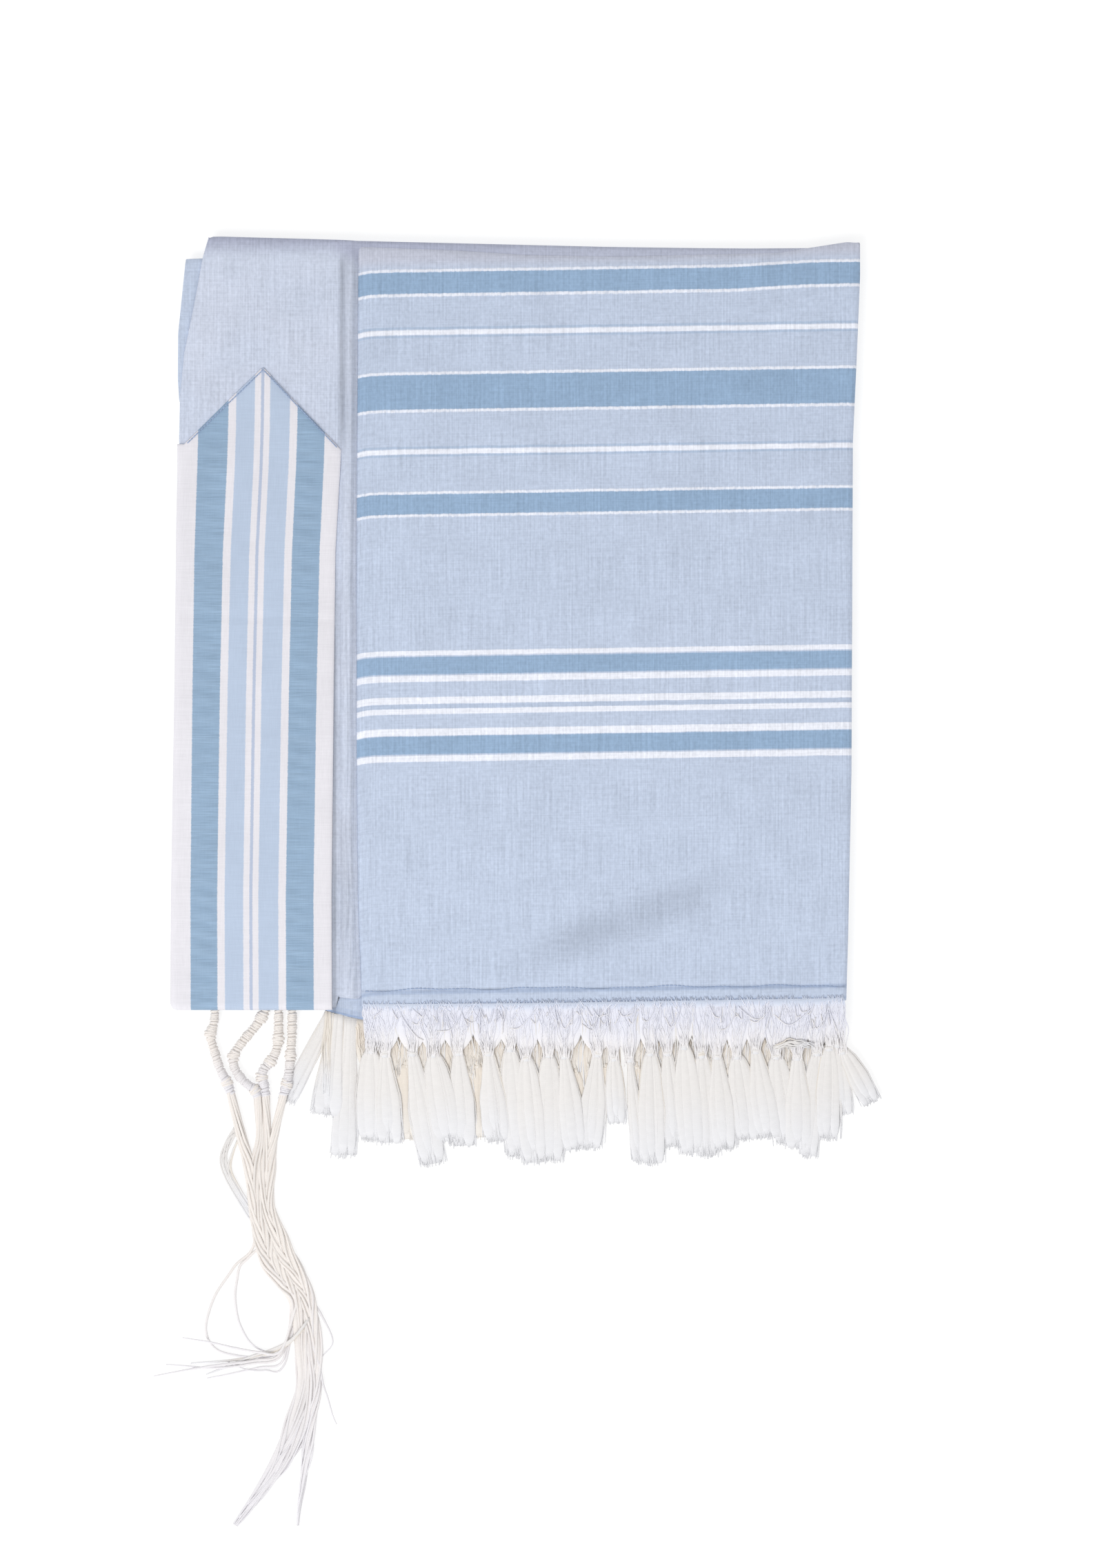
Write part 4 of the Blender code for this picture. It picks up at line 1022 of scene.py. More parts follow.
UNDER_DRAPE = ((-74.0, 5.6), (-80.0, 5.1), (-85.0, 4.5), (-92.0, 4.0), (-99.0, 3.4), (-112.0, 2.4),
               (-130.0, 1.4), (-165.0, 1.1))
print("tassels in front:", len(FRONT_TASSELS))

# %% Spread a fan of threads from the hem
LIFT_HEIGHT = 2.0


def bent(start, end, bow, count, rng, wobble):
    """A path from start to end on the flat, bowed to one side, with a little wander."""
    start, end = np.asarray(start, dtype=float), np.asarray(end, dtype=float)
    share = np.linspace(0, 1, count)[:, None]
    run = end - start
    side = np.array((-run[1], run[0])) / max(np.hypot(*run), 1e-6)
    phase, pace = rng.uniform(0, math.tau), rng.uniform(1.0, 2.4)
    drift = wobble * np.sin(share * pace * math.tau + phase) * np.sin(share * math.pi)
    return start + run * share + side * (bow * np.sin(share * math.pi) + drift)


def over_hem(y, edge, over):
    """How far threads are lifted where they lie over the hem's edge."""
    return LIFT_HEIGHT * eased(y, edge - 2.4, edge - 0.5) * (over > 0)


FAN_STEPS = 14


def fan(threads, tassel, hem, drape, half, count, rng, over=0.0, size=1.0):
    """A soft web of threads from the hem into the knot, with loose curved threads over it."""
    knot_x, knot_y = tassel[:2]
    low, high = hem[0][0] + 0.5, hem[-1][0] - 0.5
    left, right = max(knot_x - half * 1.04, low), min(knot_x + half * 1.04, high)
    root_x, reach = (left + right) / 2, (right - left) / 2
    share = np.linspace(0, 1, 9)
    widths = (reach, reach * 0.95, reach * 0.82, reach * 0.52, 2.4)
    width = np.interp(share, (0, 0.4, 0.7, 0.88, 1), widths)
    x = root_x + (knot_x - root_x) * share ** 1.3
    edge = along_table(hem, root_x)
    y = edge - 0.2 + over * 0.3 + (knot_y - edge - over * 0.3) * share
    z = along_table(drape, y) - 0.1 + over_hem(y, edge, over)
    threads.lay(np.column_stack((x, y, z)), width, 0.5, sides=16, flat=0.6 / width)
    for n in range(count):
        place = (n + 0.5) / count * 2 - 1
        x = min(max(root_x + place * half * 1.3 + rng.normal(0, 0.9), low), high)
        edge, past = along_table(hem, x), rng.uniform(-4.5, 6.0)
        start = (x, edge - 0.2 + over * rng.uniform(0.25, 1.25))
        end = (knot_x + place * (1.9 + 0.25 * max(past, 0)) + rng.normal(0, 0.4), knot_y - past)
        flat_path = bent(start, end, rng.normal(0, 1.3) - place * half * 0.3, FAN_STEPS, rng, 0.9)
        stations = np.linspace(0, 1, FAN_STEPS)
        lift = rng.uniform(0.0, 0.8) * np.sin(stations * math.pi) ** 0.6
        lift = lift + over_hem(flat_path[:, 1], edge, over)
        lift[:2] -= np.array((0.9, 0.2)) * (over > 0)
        if past > 0:
            lift = lift + 1.75 * size * np.exp(-(((flat_path[:, 1] - knot_y) / 3.8) ** 2))
        z = along_table(drape, flat_path[:, 1]) + lift
        radius = np.interp(stations, (0, 0.16, 1), (0.12, 0.37, 0.3))
        threads.lay(np.column_stack((flat_path, z)), radius, rng.uniform(), sides=4)


print("lift over the hem's edge:", float(over_hem(0.0, 0.0, 1.0)), "mm")


# %% Let a few threads stray, and tie the knots
BRIDGE_THREADS = 3


def bridge(threads, left, right, hem, drape, rng):
    """A few threads that miss their knot and hang across the gap between two tassels."""
    middle = (left[0] + right[0]) / 2
    for _ in range(BRIDGE_THREADS):
        x = min(max(middle + rng.normal(0, 3.0), hem[0][0] + 1), hem[-1][0] - 1)
        foot = middle + rng.normal(0, 2.6)
        points = [(x, along_table(hem, x) - 1.0, 0.1), (x + rng.normal(0, 0.8), -86.0, 0.0),
                  (middle + rng.normal(0, 1.6), rng.uniform(-102, -95), -0.9),
                  (foot, rng.uniform(-128, -110), -0.7)]
        path = curve_through(points, 1.8)
        path[:, 2] += along_table(drape, path[:, 1])
        threads.lay(path, 0.45, rng.uniform())


def stray(threads, hem, drape, rng):
    """A thread that has slipped out of its group and curls back on itself."""
    x = rng.uniform(hem[0][0] + 4, hem[-1][0] - 4)
    y = along_table(hem, x) - 0.3
    reach, lean = rng.uniform(6, 18), rng.normal(0, 5)
    points = [(x, y, 0.2), (x + lean * 0.2, y - reach * 0.4, 1.3), (x + lean, y - reach, 1.5),
              (x + lean * 1.6 + rng.normal(0, 2), y - reach * rng.uniform(0.5, 1.2), 0.8)]
    path = curve_through(points, 1.2)
    path[:, 2] += along_table(drape, path[:, 1]) + 0.4 * over_hem(path[:, 1], y, 1.0)
    threads.lay(path, 0.3, rng.uniform(), sides=4)


KNOT_REACH = 3.4


def knot(threads, tassel, drape, rng, size=1.0, turns=3):
    """A soft knot: a core and a few uneven turns across the threads."""
    knot_x, knot_y = tassel[:2]
    z = along_table(drape, knot_y)
    reach = KNOT_REACH * size
    core = [(knot_x, knot_y + reach, z), (knot_x, knot_y, z + 0.2), (knot_x, knot_y - reach, z)]
    threads.lay(curve_through(core, 1.0), 2.2 * size, 0.6, sides=10, flat=0.8)
    for turn in range(turns):
        angle = np.linspace(0, math.tau, 14)
        tilt = rng.uniform(-1.3, 1.3)
        y = knot_y + (turn - 1) * 1.2 * size + tilt * np.cos(angle) * 0.7
        x = knot_x + (2.1 + rng.uniform(0, 0.7)) * size * np.cos(angle)
        ring = np.column_stack((x, y, z + 1.6 * size * np.sin(angle)))
        threads.lay(ring, 0.8 * size, rng.uniform(), sides=6)


print("threads across each gap:", BRIDGE_THREADS)

# %% Shape the locks and strands below a knot
FULL = (2.4, 0.46, 0.7, 0.95)  # half the width at the knot in mm, then three shares of the full width
SLOW = (4.0, 0.42, 0.46, 0.68)
EVEN = (3.4, 0.64, 0.74, 0.9)
LATE = (2.3, 0.34, 0.46, 0.84)
LOCK_PLACES = (0.0, -0.55, 0.5, -0.1)
LOCK_LIFTS = (-0.3, 0.25, 0.3, 0.45)


def tassel_width(share, wide, tip, shape):
    """Half the tassel's width at a share of its length."""
    widths = (shape[0], *(wide * part for part in shape[1:]), tip)
    return np.interp(share, (0, 0.06, 0.18, 0.5, 1.0), widths)


def tassel_locks(threads, tassel, drape, wide, tip, level, rng, shape=FULL):
    """The soft locks of a tassel: a wide one, and narrower ones over it with ends of their own."""
    knot_x, knot_y, tip_x, tip_y = tassel
    run = np.array((tip_x - knot_x, tip_y - knot_y))
    side = np.array((-run[1], run[0])) / np.hypot(*run)
    for k, place in enumerate(LOCK_PLACES):
        reach = (0.975, rng.uniform(0.93, 0.99), rng.uniform(0.93, 0.99), rng.uniform(0.86, 0.97))[k]
        share = np.linspace(0, reach, 15)
        spread = tassel_width(share, wide, tip, shape)
        half = spread * (0.94 if k == 0 else rng.uniform(0.36, 0.5))
        end = eased(share, reach - 0.12, reach + 0.02)
        half = half * (1 - (0.25 if k == 0 else 0.6) * end)
        sway = 0.5 * np.sin(share * rng.uniform(3, 6) + rng.uniform(0, math.tau)) * share
        centre = np.array((knot_x, knot_y)) + np.outer(share, run) + np.outer(spread * place + sway, side)
        z = along_table(drape, centre[:, 1]) + level + LOCK_LIFTS[k] - 0.3 * end
        thick = (0.75 if k == 0 else 0.6) * (1 - 0.55 * end)
        threads.lay(np.column_stack((centre, np.maximum(z, thick + 0.1))), half, rng.uniform(0.3, 0.7),
                    sides=12, flat=thick / half)


def tassel_strands(threads, tassel, drape, wide, tip, count, level, rng, shape=FULL):
    """Fine strands from the knot to ragged tips."""
    knot_x, knot_y, tip_x, tip_y = tassel
    run = np.array((tip_x - knot_x, tip_y - knot_y))
    side = np.array((-run[1], run[0])) / np.hypot(*run)
    share = np.linspace(0, 1, 13)
    for n in range(count):
        place = rng.uniform(-1.06, 1.06)
        reach = 1.01 - 0.07 * rng.uniform() ** 1.5 - 0.05 * abs(place) * rng.uniform()
        stations = share * reach
        centre = np.array((knot_x, knot_y)) + np.outer(stations, run)
        half = tassel_width(stations, wide, tip, shape)
        reach_out = rng.normal(0, 0.5)
        drift = reach_out * np.sin(stations * rng.uniform(4, 9) + rng.uniform(0, math.tau)) * stations
        flare = rng.normal(0, 0.55) * eased(share, 0.7, 1.0)
        flat_path = centre + np.outer(half * place + drift + flare, side)
        dome = math.sqrt(max(0, 1 - place * place))
        z = along_table(drape, flat_path[:, 1]) + level + 0.8 * dome * rng.uniform(0.4, 1.0) - 0.1
        z = z - 0.45 * eased(share, 0.75, 1.0)
        radius = np.interp(share, (0, 0.1, 0.75, 1), (0.4, 0.4, 0.38, 0.27))
        # Edge strands get a high shade number, which paints a creamy shade between the tassels.
        shade = rng.uniform() * 0.65 + 0.35 * (abs(place) > 0.72)
        threads.lay(np.column_stack((flat_path, np.maximum(z, 0.4))), radius, shade, sides=4)


print("a full tassel's half width at its middle:", float(tassel_width(0.5, 8.0, 7.0, FULL)), "mm")

# %% Make the front fringe
hem_left, hem_right = END_LEFT[-1][1], END_RIGHT[-1][1] - 1.5
END_HEM = [(hem_left + (hem_right - hem_left) * share, y + 0.4) for share, y in HEM_EDGE]
rng = np.random.default_rng(613)


def gaps(tassels, n, column):
    """The distances to the neighbours in a column of the table."""
    neighbours = [m for m in (n - 1, n + 1) if 0 <= m < len(tassels)]
    return [abs(tassels[m][column] - tassels[n][column]) for m in neighbours]


def gap(tassels, n, column):
    """The distance to the nearest neighbour in a column of the table."""
    return min(gaps(tassels, n, column))


SLIM = {11: 5.8, 12: 4.8, 24: 6.0, 25: 6.8}  # half widths of the thinner tassels
LATE_ROWS = (1, 2, 4, 5, 9, 10, 12, 14, 17, 19, 21)  # tassels that open out late
OPENING = 12  # the tassel with a gap beside it
LAST_BRIDGE = 24
WIDEST = 9.4
FRONT_STRANDS, STRAYS = 44, 60
SIDEWAYS = (151.5, -95.6, 172.0, -94.6)  # x, y of both ends of the threads that cross sideways
SIDEWAYS_THREADS = 12
fans, tassels, knots = Threads(), Threads(), Threads()
for n, row in enumerate(FRONT_TASSELS):
    half = max(gaps(FRONT_TASSELS, n, 0)) / 2 + 1.6
    wide = SLIM.get(n, min(WIDEST, 0.68 * max(gap(FRONT_TASSELS, n, 0), gap(FRONT_TASSELS, n, 2)) + 2.0))
    level = 0.45 * (n % 2)
    shape = LATE if n in LATE_ROWS else FULL
    fan(fans, row, END_HEM, FRONT_DRAPE, half, int(14 + half * 2.6), rng, over=3.2)
    if n not in (0, OPENING) and n < LAST_BRIDGE:
        bridge(knots, FRONT_TASSELS[n - 1], row, END_HEM, FRONT_DRAPE, rng)
    knot(knots, row, FRONT_DRAPE, rng, rng.uniform(0.85, 1.0), (0, 2, 1)[n % 3])
    tassel_locks(tassels, row, FRONT_DRAPE, wide, wide * 0.85, level, rng, shape)
    tassel_strands(tassels, row, FRONT_DRAPE, wide, wide * 0.85, FRONT_STRANDS, level, rng, shape)
for _ in range(STRAYS):
    stray(fans, END_HEM, FRONT_DRAPE, rng)
for _ in range(SIDEWAYS_THREADS):
    start, end = rng.normal(SIDEWAYS[:2], (0.8, 0.7)), rng.normal(SIDEWAYS[2:], (3.0, 1.5))
    path = bent(start, end, rng.normal(1.8, 1.0), 12, rng, 0.7)
    height = along_table(FRONT_DRAPE, path[:, 1]) + 1.6 + rng.uniform(-0.5, 0.3)
    knots.lay(np.column_stack((path, height)), np.linspace(0.5, 0.3, 12), rng.uniform())
fringe_fans = fans.make("fringe_fans", fan_yarn, "fringe")
fringe_tassels = tassels.make("fringe_tassels", fringe_yarn, "fringe")
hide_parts("fringe_front")
fringe_knots = knots.make("fringe_knots", fringe_yarn, "fringe")

# %% [markdown]
# ## The fringe below
#
# The layer below ends a little higher, and its fringe lies on the table under the first one. It is built
# in the same way with fewer strands, because only its left end and the gaps between the front tassels
# show it.

# %% Make the under fringe
UNDER_HEM = [(x, y) for x, y in BACK_HEM if -111 < x < 0] + [(182.0, -77.65)]
HIDDEN_STEP, HIDDEN_WIDE, HIDDEN_STRANDS = 8.8, 6.2, 12
hidden_rows = [(x, -109.0 + 2.5 * math.sin(x), x + 1.5, -138.0)
               for x in np.arange(-88.0, 178.0, HIDDEN_STEP) if not 54 < x < 69]
hidden_rows += [(-64.5, -106.0, -63.2, -151.0), (-22.5, -106.0, -21.4, -150.0)]
LEFT_WIDE, LEFT_STRANDS = (5.0, 9.6, 8.4), 64
LEFT_EDGE, EDGE_THREADS = -108.6, 12
under, left_locks = Threads(), Threads()
for n, (row, wide) in enumerate(zip(UNDER_TASSELS, LEFT_WIDE)):
    shape = SLOW if n else EVEN
    level = 0.5 * (n % 2)
    tassel_locks(left_locks, row, UNDER_DRAPE, wide, wide, level, rng, shape)
    tassel_strands(left_locks, row, UNDER_DRAPE, wide, wide, LEFT_STRANDS, level, rng, shape)
for n, row in enumerate(hidden_rows):
    level = 0.2 * ((n + 1) % 2)
    fan(under, row, UNDER_HEM, UNDER_DRAPE, 6.0, HIDDEN_STRANDS, rng, size=0.6)
    knot(under, row, UNDER_DRAPE, rng, 0.6, 1)
    between = (row[0] + 4.4, -86.0, row[0] + 5.0, -127.0)
    tassel_locks(under, between, UNDER_DRAPE, 5.0, 5.0, -0.5, rng, EVEN)
    tassel_locks(under, row, UNDER_DRAPE, HIDDEN_WIDE, HIDDEN_WIDE * 0.95, level, rng)
    tassel_strands(under, row, UNDER_DRAPE, HIDDEN_WIDE, HIDDEN_WIDE, HIDDEN_STRANDS, level, rng)
for _ in range(EDGE_THREADS):
    x = LEFT_EDGE + rng.normal(0, 1.1)
    start = (x, along_table(UNDER_HEM, x) - 0.3)
    end = (x - 1.0 + rng.normal(0, 1.4), -124.0 + rng.uniform(-3, 3))
    path = bent(start, end, rng.normal(0, 0.8), 14, rng, 0.5)
    height = along_table(UNDER_DRAPE, path[:, 1]) + 1.2 + rng.uniform(-0.3, 0.3)
    left_locks.lay(np.column_stack((path, height)), 0.5, 0.9)
fringe_below = under.make("fringe_below", cream_yarn, "fringe_shade")
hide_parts("fringe_under")
fringe_left = left_locks.make("fringe_left", fringe_yarn, "fringe")

# %% [markdown]
# ## Corner cords
#
# Each corner carries a tzitzit: four wool strings pulled through the corner and doubled, so eight hang
# down. They are tied and wound into a stiff head, with one string coiled round the rest between double
# knots, and then hang free. The head is a core with a wound thread round it that swells at the knots, and
# the strings are tubes. Most strings share a bundle and turn slowly round each other. Some leave it, and
# a few pale threads lie beside it.

# %% Places of the heads and strings
HEADS = {  # x, y, radius
    "a": ((-175.5, -71.6, 2.3), (-176.3, -81.6, 2.4), (-178.5, -88.4, 3.0), (-177.6, -92.6, 2.4),
          (-175.2, -101.0, 2.7), (-172.6, -109.0, 2.5), (-168.8, -116.5, 2.9), (-166.4, -123.0, 2.6)),
    "b": ((-145.0, -71.6, 2.3), (-148.6, -78.6, 3.0), (-152.2, -84.0, 2.4), (-157.4, -90.0, 2.7),
          (-162.2, -96.2, 2.5), (-165.0, -101.2, 3.0), (-164.6, -107.0, 2.5), (-161.6, -112.6, 2.7),
          (-157.0, -117.4, 2.5), (-152.4, -121.0, 2.9), (-150.8, -125.0, 2.4)),
    "c": ((-138.6, -71.6, 2.3), (-138.5, -84.0, 2.7), (-138.7, -91.0, 3.0), (-140.0, -98.2, 2.5),
          (-143.2, -104.2, 3.0), (-147.0, -108.4, 2.7), (-148.4, -113.4, 3.0), (-146.6, -119.0, 2.6),
          (-146.0, -124.0, 2.4)),
    "d": ((-130.6, -71.6, 2.3), (-130.6, -84.0, 2.7), (-131.0, -93.0, 2.5), (-131.6, -101.0, 2.9),
          (-132.4, -109.4, 2.5), (-133.8, -117.4, 2.9), (-135.8, -124.0, 2.5)),
}
LEGS = {"a": (-160.4, -147.9), "b": (-149.4, -147.9), "c": (-145.4, -147.9), "d": (-141.2, -147.9)}
HEAD_HEIGHT = 3.6
BUNDLE = (  # x and y of the bundle's middle, distance between cords
    (-149.6, -166.0, 4.0), (-148.6, -189.0, 3.2), (-143.6, -207.0, 4.2), (-139.4, -219.0, 4.5),
    (-131.4, -232.0, 4.1), (-125.0, -245.0, 3.5), (-121.8, -268.0, 3.7), (-121.0, -293.0, 3.2),
    (-126.4, -318.0, 4.0),
)
LEFT_END = ((-137.6, -337.0), (-150.5, -356.5), (-164.2, -375.2))
RIGHT_END = ((-122.2, -337.0), (-125.6, -358.0), (-127.6, -375.6))
LOOSE = {  # cord, string: (last station in the bundle, height, x and y of the rest)
    ("a", 4): (3, 0.9, ((-156.0, -219.0), (-162.4, -227.0), (-163.8, -249.0), (-159.6, -262.0),
                        (-152.0, -271.5), (-138.0, -277.0))),
    ("a", 5): (2, 0.9, ((-154.0, -213.5), (-165.0, -225.0), (-177.5, -245.0), (-181.1, -261.7),
                        (-176.3, -272.0), (-163.0, -276.5), (-146.0, -277.5), (-134.0, -274.0))),
    ("a", 3): (6, 3.0, ((-137.0, -274.5), (-152.0, -279.0), (-172.0, -281.5), (-192.0, -284.5),
                        (-211.0, -288.2))),
    ("a", 2): (6, 4.4, ((-137.5, -273.0), (-150.0, -274.0), (-164.0, -271.5), (-180.0, -268.0),
                        (-194.6, -265.6))),
    ("a", 6): (6, 0.9, ((-136.0, -279.0), (-150.0, -283.5), (-166.0, -287.0), (-180.7, -289.8))),
    ("b", 4): (6, 2.0, ((-137.0, -276.0), (-154.0, -281.0), (-176.0, -283.5), (-204.0, -281.5))),
    ("a", 1): (6, 1.6, ((-136.0, -282.5), (-146.0, -285.0), (-157.5, -284.5), (-168.0, -280.0))),
    ("d", 1): (7, 2.4, ((-110.5, -300.0), (-107.6, -309.0), (-104.3, -316.4))),
    ("d", 7): (5, 2.0, ((-114.2, -252.0), (-108.6, -262.0), (-107.6, -270.0), (-113.0, -277.0))),
}
WISPS = (  # x, y points of the pale threads that stand off the left leg
    ((-163.0, -142.0), (-168.6, -150.5), (-172.0, -161.0), (-168.8, -172.5), (-159.0, -190.5),
     (-153.5, -198.0)),
    ((-162.6, -144.0), (-167.0, -153.0), (-170.2, -162.0), (-166.6, -174.0), (-158.6, -186.0),
     (-152.5, -195.0)),
    ((-163.6, -146.0), (-168.0, -151.5), (-169.6, -164.0), (-164.6, -176.0), (-156.0, -190.0)),
    ((-162.0, -150.0), (-166.0, -158.0), (-167.0, -168.0), (-161.5, -180.0), (-154.0, -192.0)),
)
CROSSING = (  # x, y, z points of the pale threads that cross the bundle
    ((-120.6, -254.0, 3.2), (-123.5, -258.0, 5.1), (-131.5, -267.0, 4.4), (-143.0, -273.0, 2.4),
     (-156.0, -277.4, 1.8), (-181.0, -287.6, 1.0)),
    ((-121.6, -256.6, 3.2), (-125.0, -260.5, 5.1), (-132.5, -268.6, 4.2), (-144.0, -274.6, 1.8),
     (-158.0, -279.6, 1.2), (-178.0, -286.6, 0.9)),
    ((-123.0, -259.6, 3.2), (-127.0, -263.5, 4.9), (-134.0, -270.2, 3.6), (-146.0, -275.6, 1.6),
     (-164.0, -279.0, 1.0), (-190.0, -281.0, 0.9)),
)
print("strings that leave the bundle:", len(LOOSE))

# %% Wind a head
COIL_PITCH, COIL_THREAD = 1.4, 0.78
KNOT_RADIUS = 2.85
CORE_SHARE = 0.82


def wound_head(threads, rows, rng):
    """The head: a core, a thread wound round it, and a knot at each wide place."""
    line = curve_through([(x, y, HEAD_HEIGHT, r) for x, y, r in rows], 0.16)
    path, radius = line[:, :3], line[:, 3]
    threads.lay(path[::8], radius[::8] * CORE_SHARE, 0.5, sides=8)
    run = np.gradient(path[:, :2], axis=0)
    run /= np.linalg.norm(run, axis=1, keepdims=True)
    side = np.column_stack((-run[:, 1], run[:, 0], np.zeros(len(path))))
    reached = np.concatenate(([0], np.cumsum(np.linalg.norm(np.diff(path, axis=0), axis=1))))
    angle = (reached + 0.5 * np.sin(reached * 0.9)) / COIL_PITCH * math.tau
    out = radius * (0.86 + 0.07 * np.sin(reached * 1.7 + rng.uniform(0, 6)) * np.sin(reached * 0.53))
    coil = path + side * (out * np.cos(angle))[:, None]
    coil[:, 2] += out * np.sin(angle)
    threads.lay(coil, COIL_THREAD, 0.55, sides=5)
    for x, y, r in rows:
        if r >= KNOT_RADIUS:
            here = np.argmin(np.hypot(path[:, 0] - x, path[:, 1] - y))
            for turn in (-1, 0, 1):
                ring_angle = np.linspace(0, math.tau, 16)
                centre = path[here] + np.append(run[here], 0) * turn * 1.2
                ring = centre + np.outer(np.cos(ring_angle) * r * 1.02, side[here])
                ring += np.outer(np.cos(ring_angle) * rng.uniform(-1, 1), np.append(run[here], 0))
                ring[:, 2] += np.sin(ring_angle) * r * 0.8
                threads.lay(ring, 0.8, rng.uniform(0.4, 0.9), sides=6)


print("knots on the heads:", sum(r >= KNOT_RADIUS for rows in HEADS.values() for _, _, r in rows))

# %% Lead a string to its tip
STRINGS = 8
END_SPACINGS = (3.4, 2.0, 0.9)
BUNDLE_HEIGHT = 2.3


def string_path(cord, place):
    """Where one string runs, from the end of its head to its tip."""
    order = "abcd".index(cord)
    angle = place / STRINGS * math.tau
    head_x, head_y = HEADS[cord][-1][:2]
    stations = [(head_x, head_y, 0, 3.4), (*LEGS[cord], 0, 5.0 if cord == "a" else 3.8)]
    stations += [(x, y, order - 1.5, spacing) for x, y, spacing in BUNDLE]
    ends, offset = (RIGHT_END, 0) if cord == "d" else (LEFT_END, order - 1)
    stations += [(x, y, offset, spacing) for (x, y), spacing in zip(ends, END_SPACINGS)]
    stations = np.array(stations)
    run = np.gradient(stations[:, :2], axis=0)
    run /= np.linalg.norm(run, axis=1, keepdims=True)
    path = []
    for n, ((x, y, offset, spacing), way) in enumerate(zip(stations, run)):
        twist = angle + n * (1 if order % 2 else -1) + 0.5 * math.sin(n * 0.9 + order * 1.7)
        reach = spacing * (0.47 if n < 2 else 0.74)
        across = offset * spacing + math.cos(twist) * reach
        height, rise = (HEAD_HEIGHT, 1.0) if n == 0 else (BUNDLE_HEIGHT, 1.45)
        path.append((x - way[1] * across, y + way[0] * across, height + rise * math.sin(twist)))
    return path


print("stations of a string:", len(string_path("a", 0)))

# %% Make the corner cords
CORE_SPACINGS = (3.0, 1.6, 0.8)
LOWEST = 0.72


def corner_cord(cord, rng):
    """A wound head and its eight strings."""
    threads = Threads()
    wound_head(threads, HEADS[cord], rng)
    middle = np.mean([string_path(cord, place) for place in range(STRINGS)], axis=0)[1:]
    spacings = [4.6 if cord == "a" else 3.6, *(spacing for _, _, spacing in BUNDLE), *CORE_SPACINGS]
    middle[:, 2] = 1.9
    inner = curve_through(np.column_stack((middle, spacings)), 3.0)
    half = inner[:, 3] * 0.62
    threads.lay(inner[:, :3], half, 0.4, sides=10, flat=1.85 / half)
    for place in range(STRINGS):
        path = string_path(cord, place)
        loose = LOOSE.get((cord, place))
        if loose:
            path = path[:loose[0] + 2] + [(x, y, loose[1]) for x, y in loose[2]]
        elif place % 4:
            cut = 1 if place % 4 == 3 else 2 if cord == "d" else rng.integers(1, 3)
            last, beyond = np.array(path[-cut - 1]), np.array(path[-cut])
            path = path[:-cut] + [tuple(last + (beyond - last) * rng.uniform(0.3, 0.9))]
        start = np.array(HEADS[cord][-1])
        path = curve_through([(start[0], start[1] + 3, HEAD_HEIGHT)] + path, 2.0)
        share = np.linspace(0, 1, len(path))
        for k, (dx, dz) in enumerate(rng.normal(0, 1, (5, 2))):
            path[:, 0] += 0.2 * dx * np.sin(share * (k + 3) * 9) * share
            path[:, 2] += 0.12 * dz * np.sin(share * (k + 2) * 8)
        path[:, 2] = np.maximum(path[:, 2], LOWEST)
        thick = np.interp(share, (0, 0.04, 0.85, 1), (0.9, 0.86, 0.74, 0.4))
        if loose:
            thick = np.interp(share, (0, 0.04, 0.55, 0.85, 1), (0.9, 0.86, 0.84, 0.76, 0.4))
        threads.lay(path, thick, rng.uniform(), sides=6)
    piece = threads.make(f"corner_cord_{cord}", wool, "wool_cord")
    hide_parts(f"tzitzit_{cord}")


rng = np.random.default_rng(39)
for cord in "abcd":
    corner_cord(cord, rng)

# %% Add the loose wisps
wisps = Threads()
for n, points in enumerate(WISPS):
    for across in (-0.7, 0.7):
        line = [(x + across + rng.normal(0, 0.3), y + across * 0.6, 0.9 + 0.3 * n) for x, y in points]
        wisps.lay(curve_through(line, 2.0), 0.62, rng.uniform())
for points in CROSSING:
    path = curve_through(points, 2.0)
    radius = np.interp(np.linspace(0, 1, len(path)), (0, 0.6, 1), (0.8, 0.8, 0.4))
    wisps.lay(path, radius, rng.uniform())
wisps.make("loose_wisps", fringe_yarn, "fringe")

# %% [markdown]
# ## Stitches
#
# The neckband's pointed end is sewn down with small stitches, and so is the end panel's hem. Each stitch
# is a short thread that dips into the cloth at both ends.

# %% Sew the stitches
HEM_ENDS = (-88.5, 189.0)
BAND_APEX = (-147.1, 299.4)


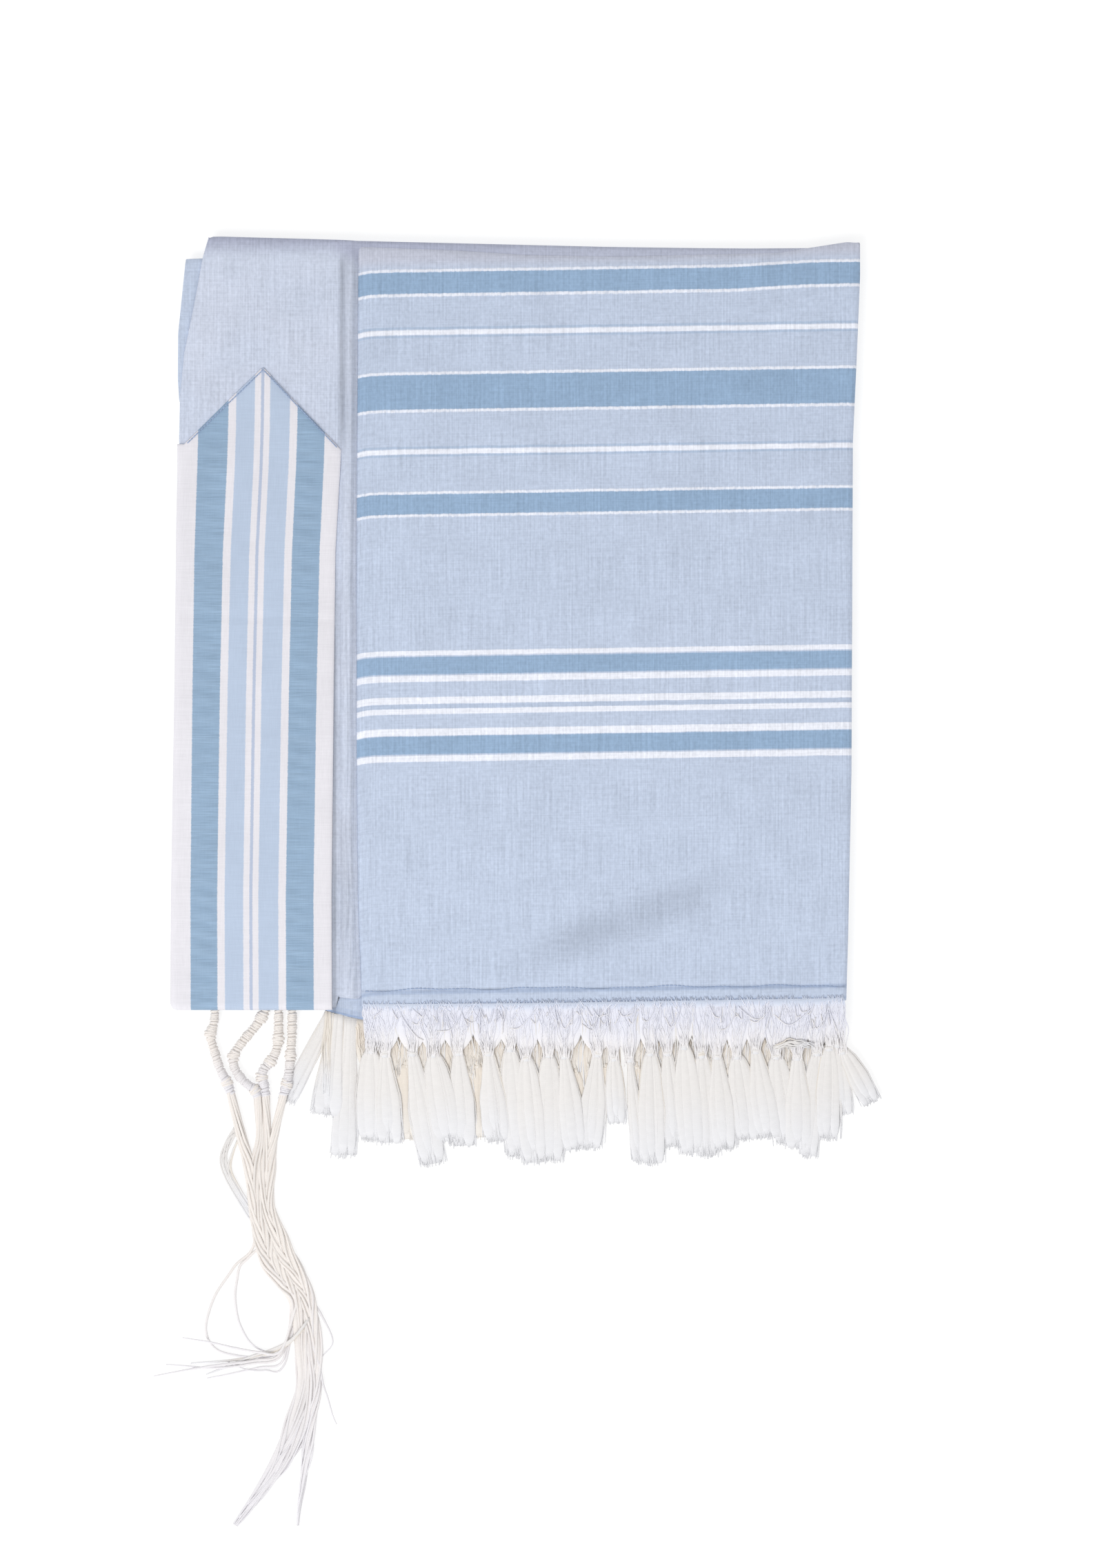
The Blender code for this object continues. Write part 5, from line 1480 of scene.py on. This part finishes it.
def sew(threads, line, step, length, radius, rng):
    """Short stitches along a line of points on the cloth."""
    path = curve_through(line, 0.5)
    reached = np.concatenate(([0], np.cumsum(np.linalg.norm(np.diff(path, axis=0), axis=1))))
    for start in np.arange(1.0, reached[-1] - length, step):
        at = start + np.linspace(0, length, 5)
        stitch = np.column_stack([np.interp(at, reached, path[:, k]) for k in range(3)])
        stitch[:, 2] += radius * np.array((-0.8, 0.3, 0.6, 0.3, -0.8))
        threads.lay(stitch, radius, rng.uniform(), sides=5)


blue_thread = yarn("blue_thread", HEM_BLUE, HEM_BLUE, 0.2, 0.8)
stitches = Threads()
hem_x = np.linspace(*HEM_ENDS, 60)
hem_share = (hem_x + 89.4) / (190 + 89.4)
hem_y = along_table(HEM_LINE, hem_share) + hem_wave(hem_x)
hem_line = np.column_stack((hem_x, hem_y, END_TOP + wave(hem_x, hem_y) - 0.3))
sew(stitches, hem_line, 2.4, 2.1, 0.32, rng)
band_left = (along_table(NECK_LEFT, 255.7) + NECK_FOLD + 1.2, 256.0)
band_right = (along_table(BAND_RIGHT, 252.5) - 1.2, 253.0)
for start, end in ((band_left, BAND_APEX), (BAND_APEX, band_right)):
    seam_x, seam_y = np.linspace(start[0], end[0], 40), np.linspace(start[1], end[1], 40)
    seam_z = NECK_TOP + wave(seam_x, seam_y) + BAND_LIFT - 0.1
    sew(stitches, np.column_stack((seam_x, seam_y, seam_z)), 2.2, 1.9, 0.34, rng)
hem_stitches = stitches.make("hem_stitches", blue_thread, "cloth")

# %% [markdown]
# ## Floor and sheets
#
# The floor is plain and white, and the sheets of cloth are listed by name.

# %% Lay the floor
FLOOR_HALF, FLOOR_LEVEL = 4.0, -0.0002
FLOOR_CORNERS = ((-1, -1), (1, -1), (1, 1), (-1, 1))
floor_finish = Finish("white_floor", Base_Color=(0.35, 0.35, 0.35, 1), Roughness=0.9, Emission_Strength=0.7)
floor_finish.shader.inputs["Emission Color"].default_value = (1, 1, 1, 1)
floor_mesh = bpy.data.meshes.new("white_floor")
floor_points = [(x * FLOOR_HALF, y * FLOOR_HALF, FLOOR_LEVEL) for x, y in FLOOR_CORNERS]
floor_mesh.from_pydata(floor_points, [], [(0, 1, 2, 3)])
floor_mesh.materials.append(floor_finish.material)
floor = bpy.data.objects.new("white_floor", floor_mesh)
bpy.context.scene.collection.objects.link(floor)
print("floor:", 2 * FLOOR_HALF, "m wide")

print("sheets:", [sheet.name for sheet in (panel, neck, band, layer, pile)])
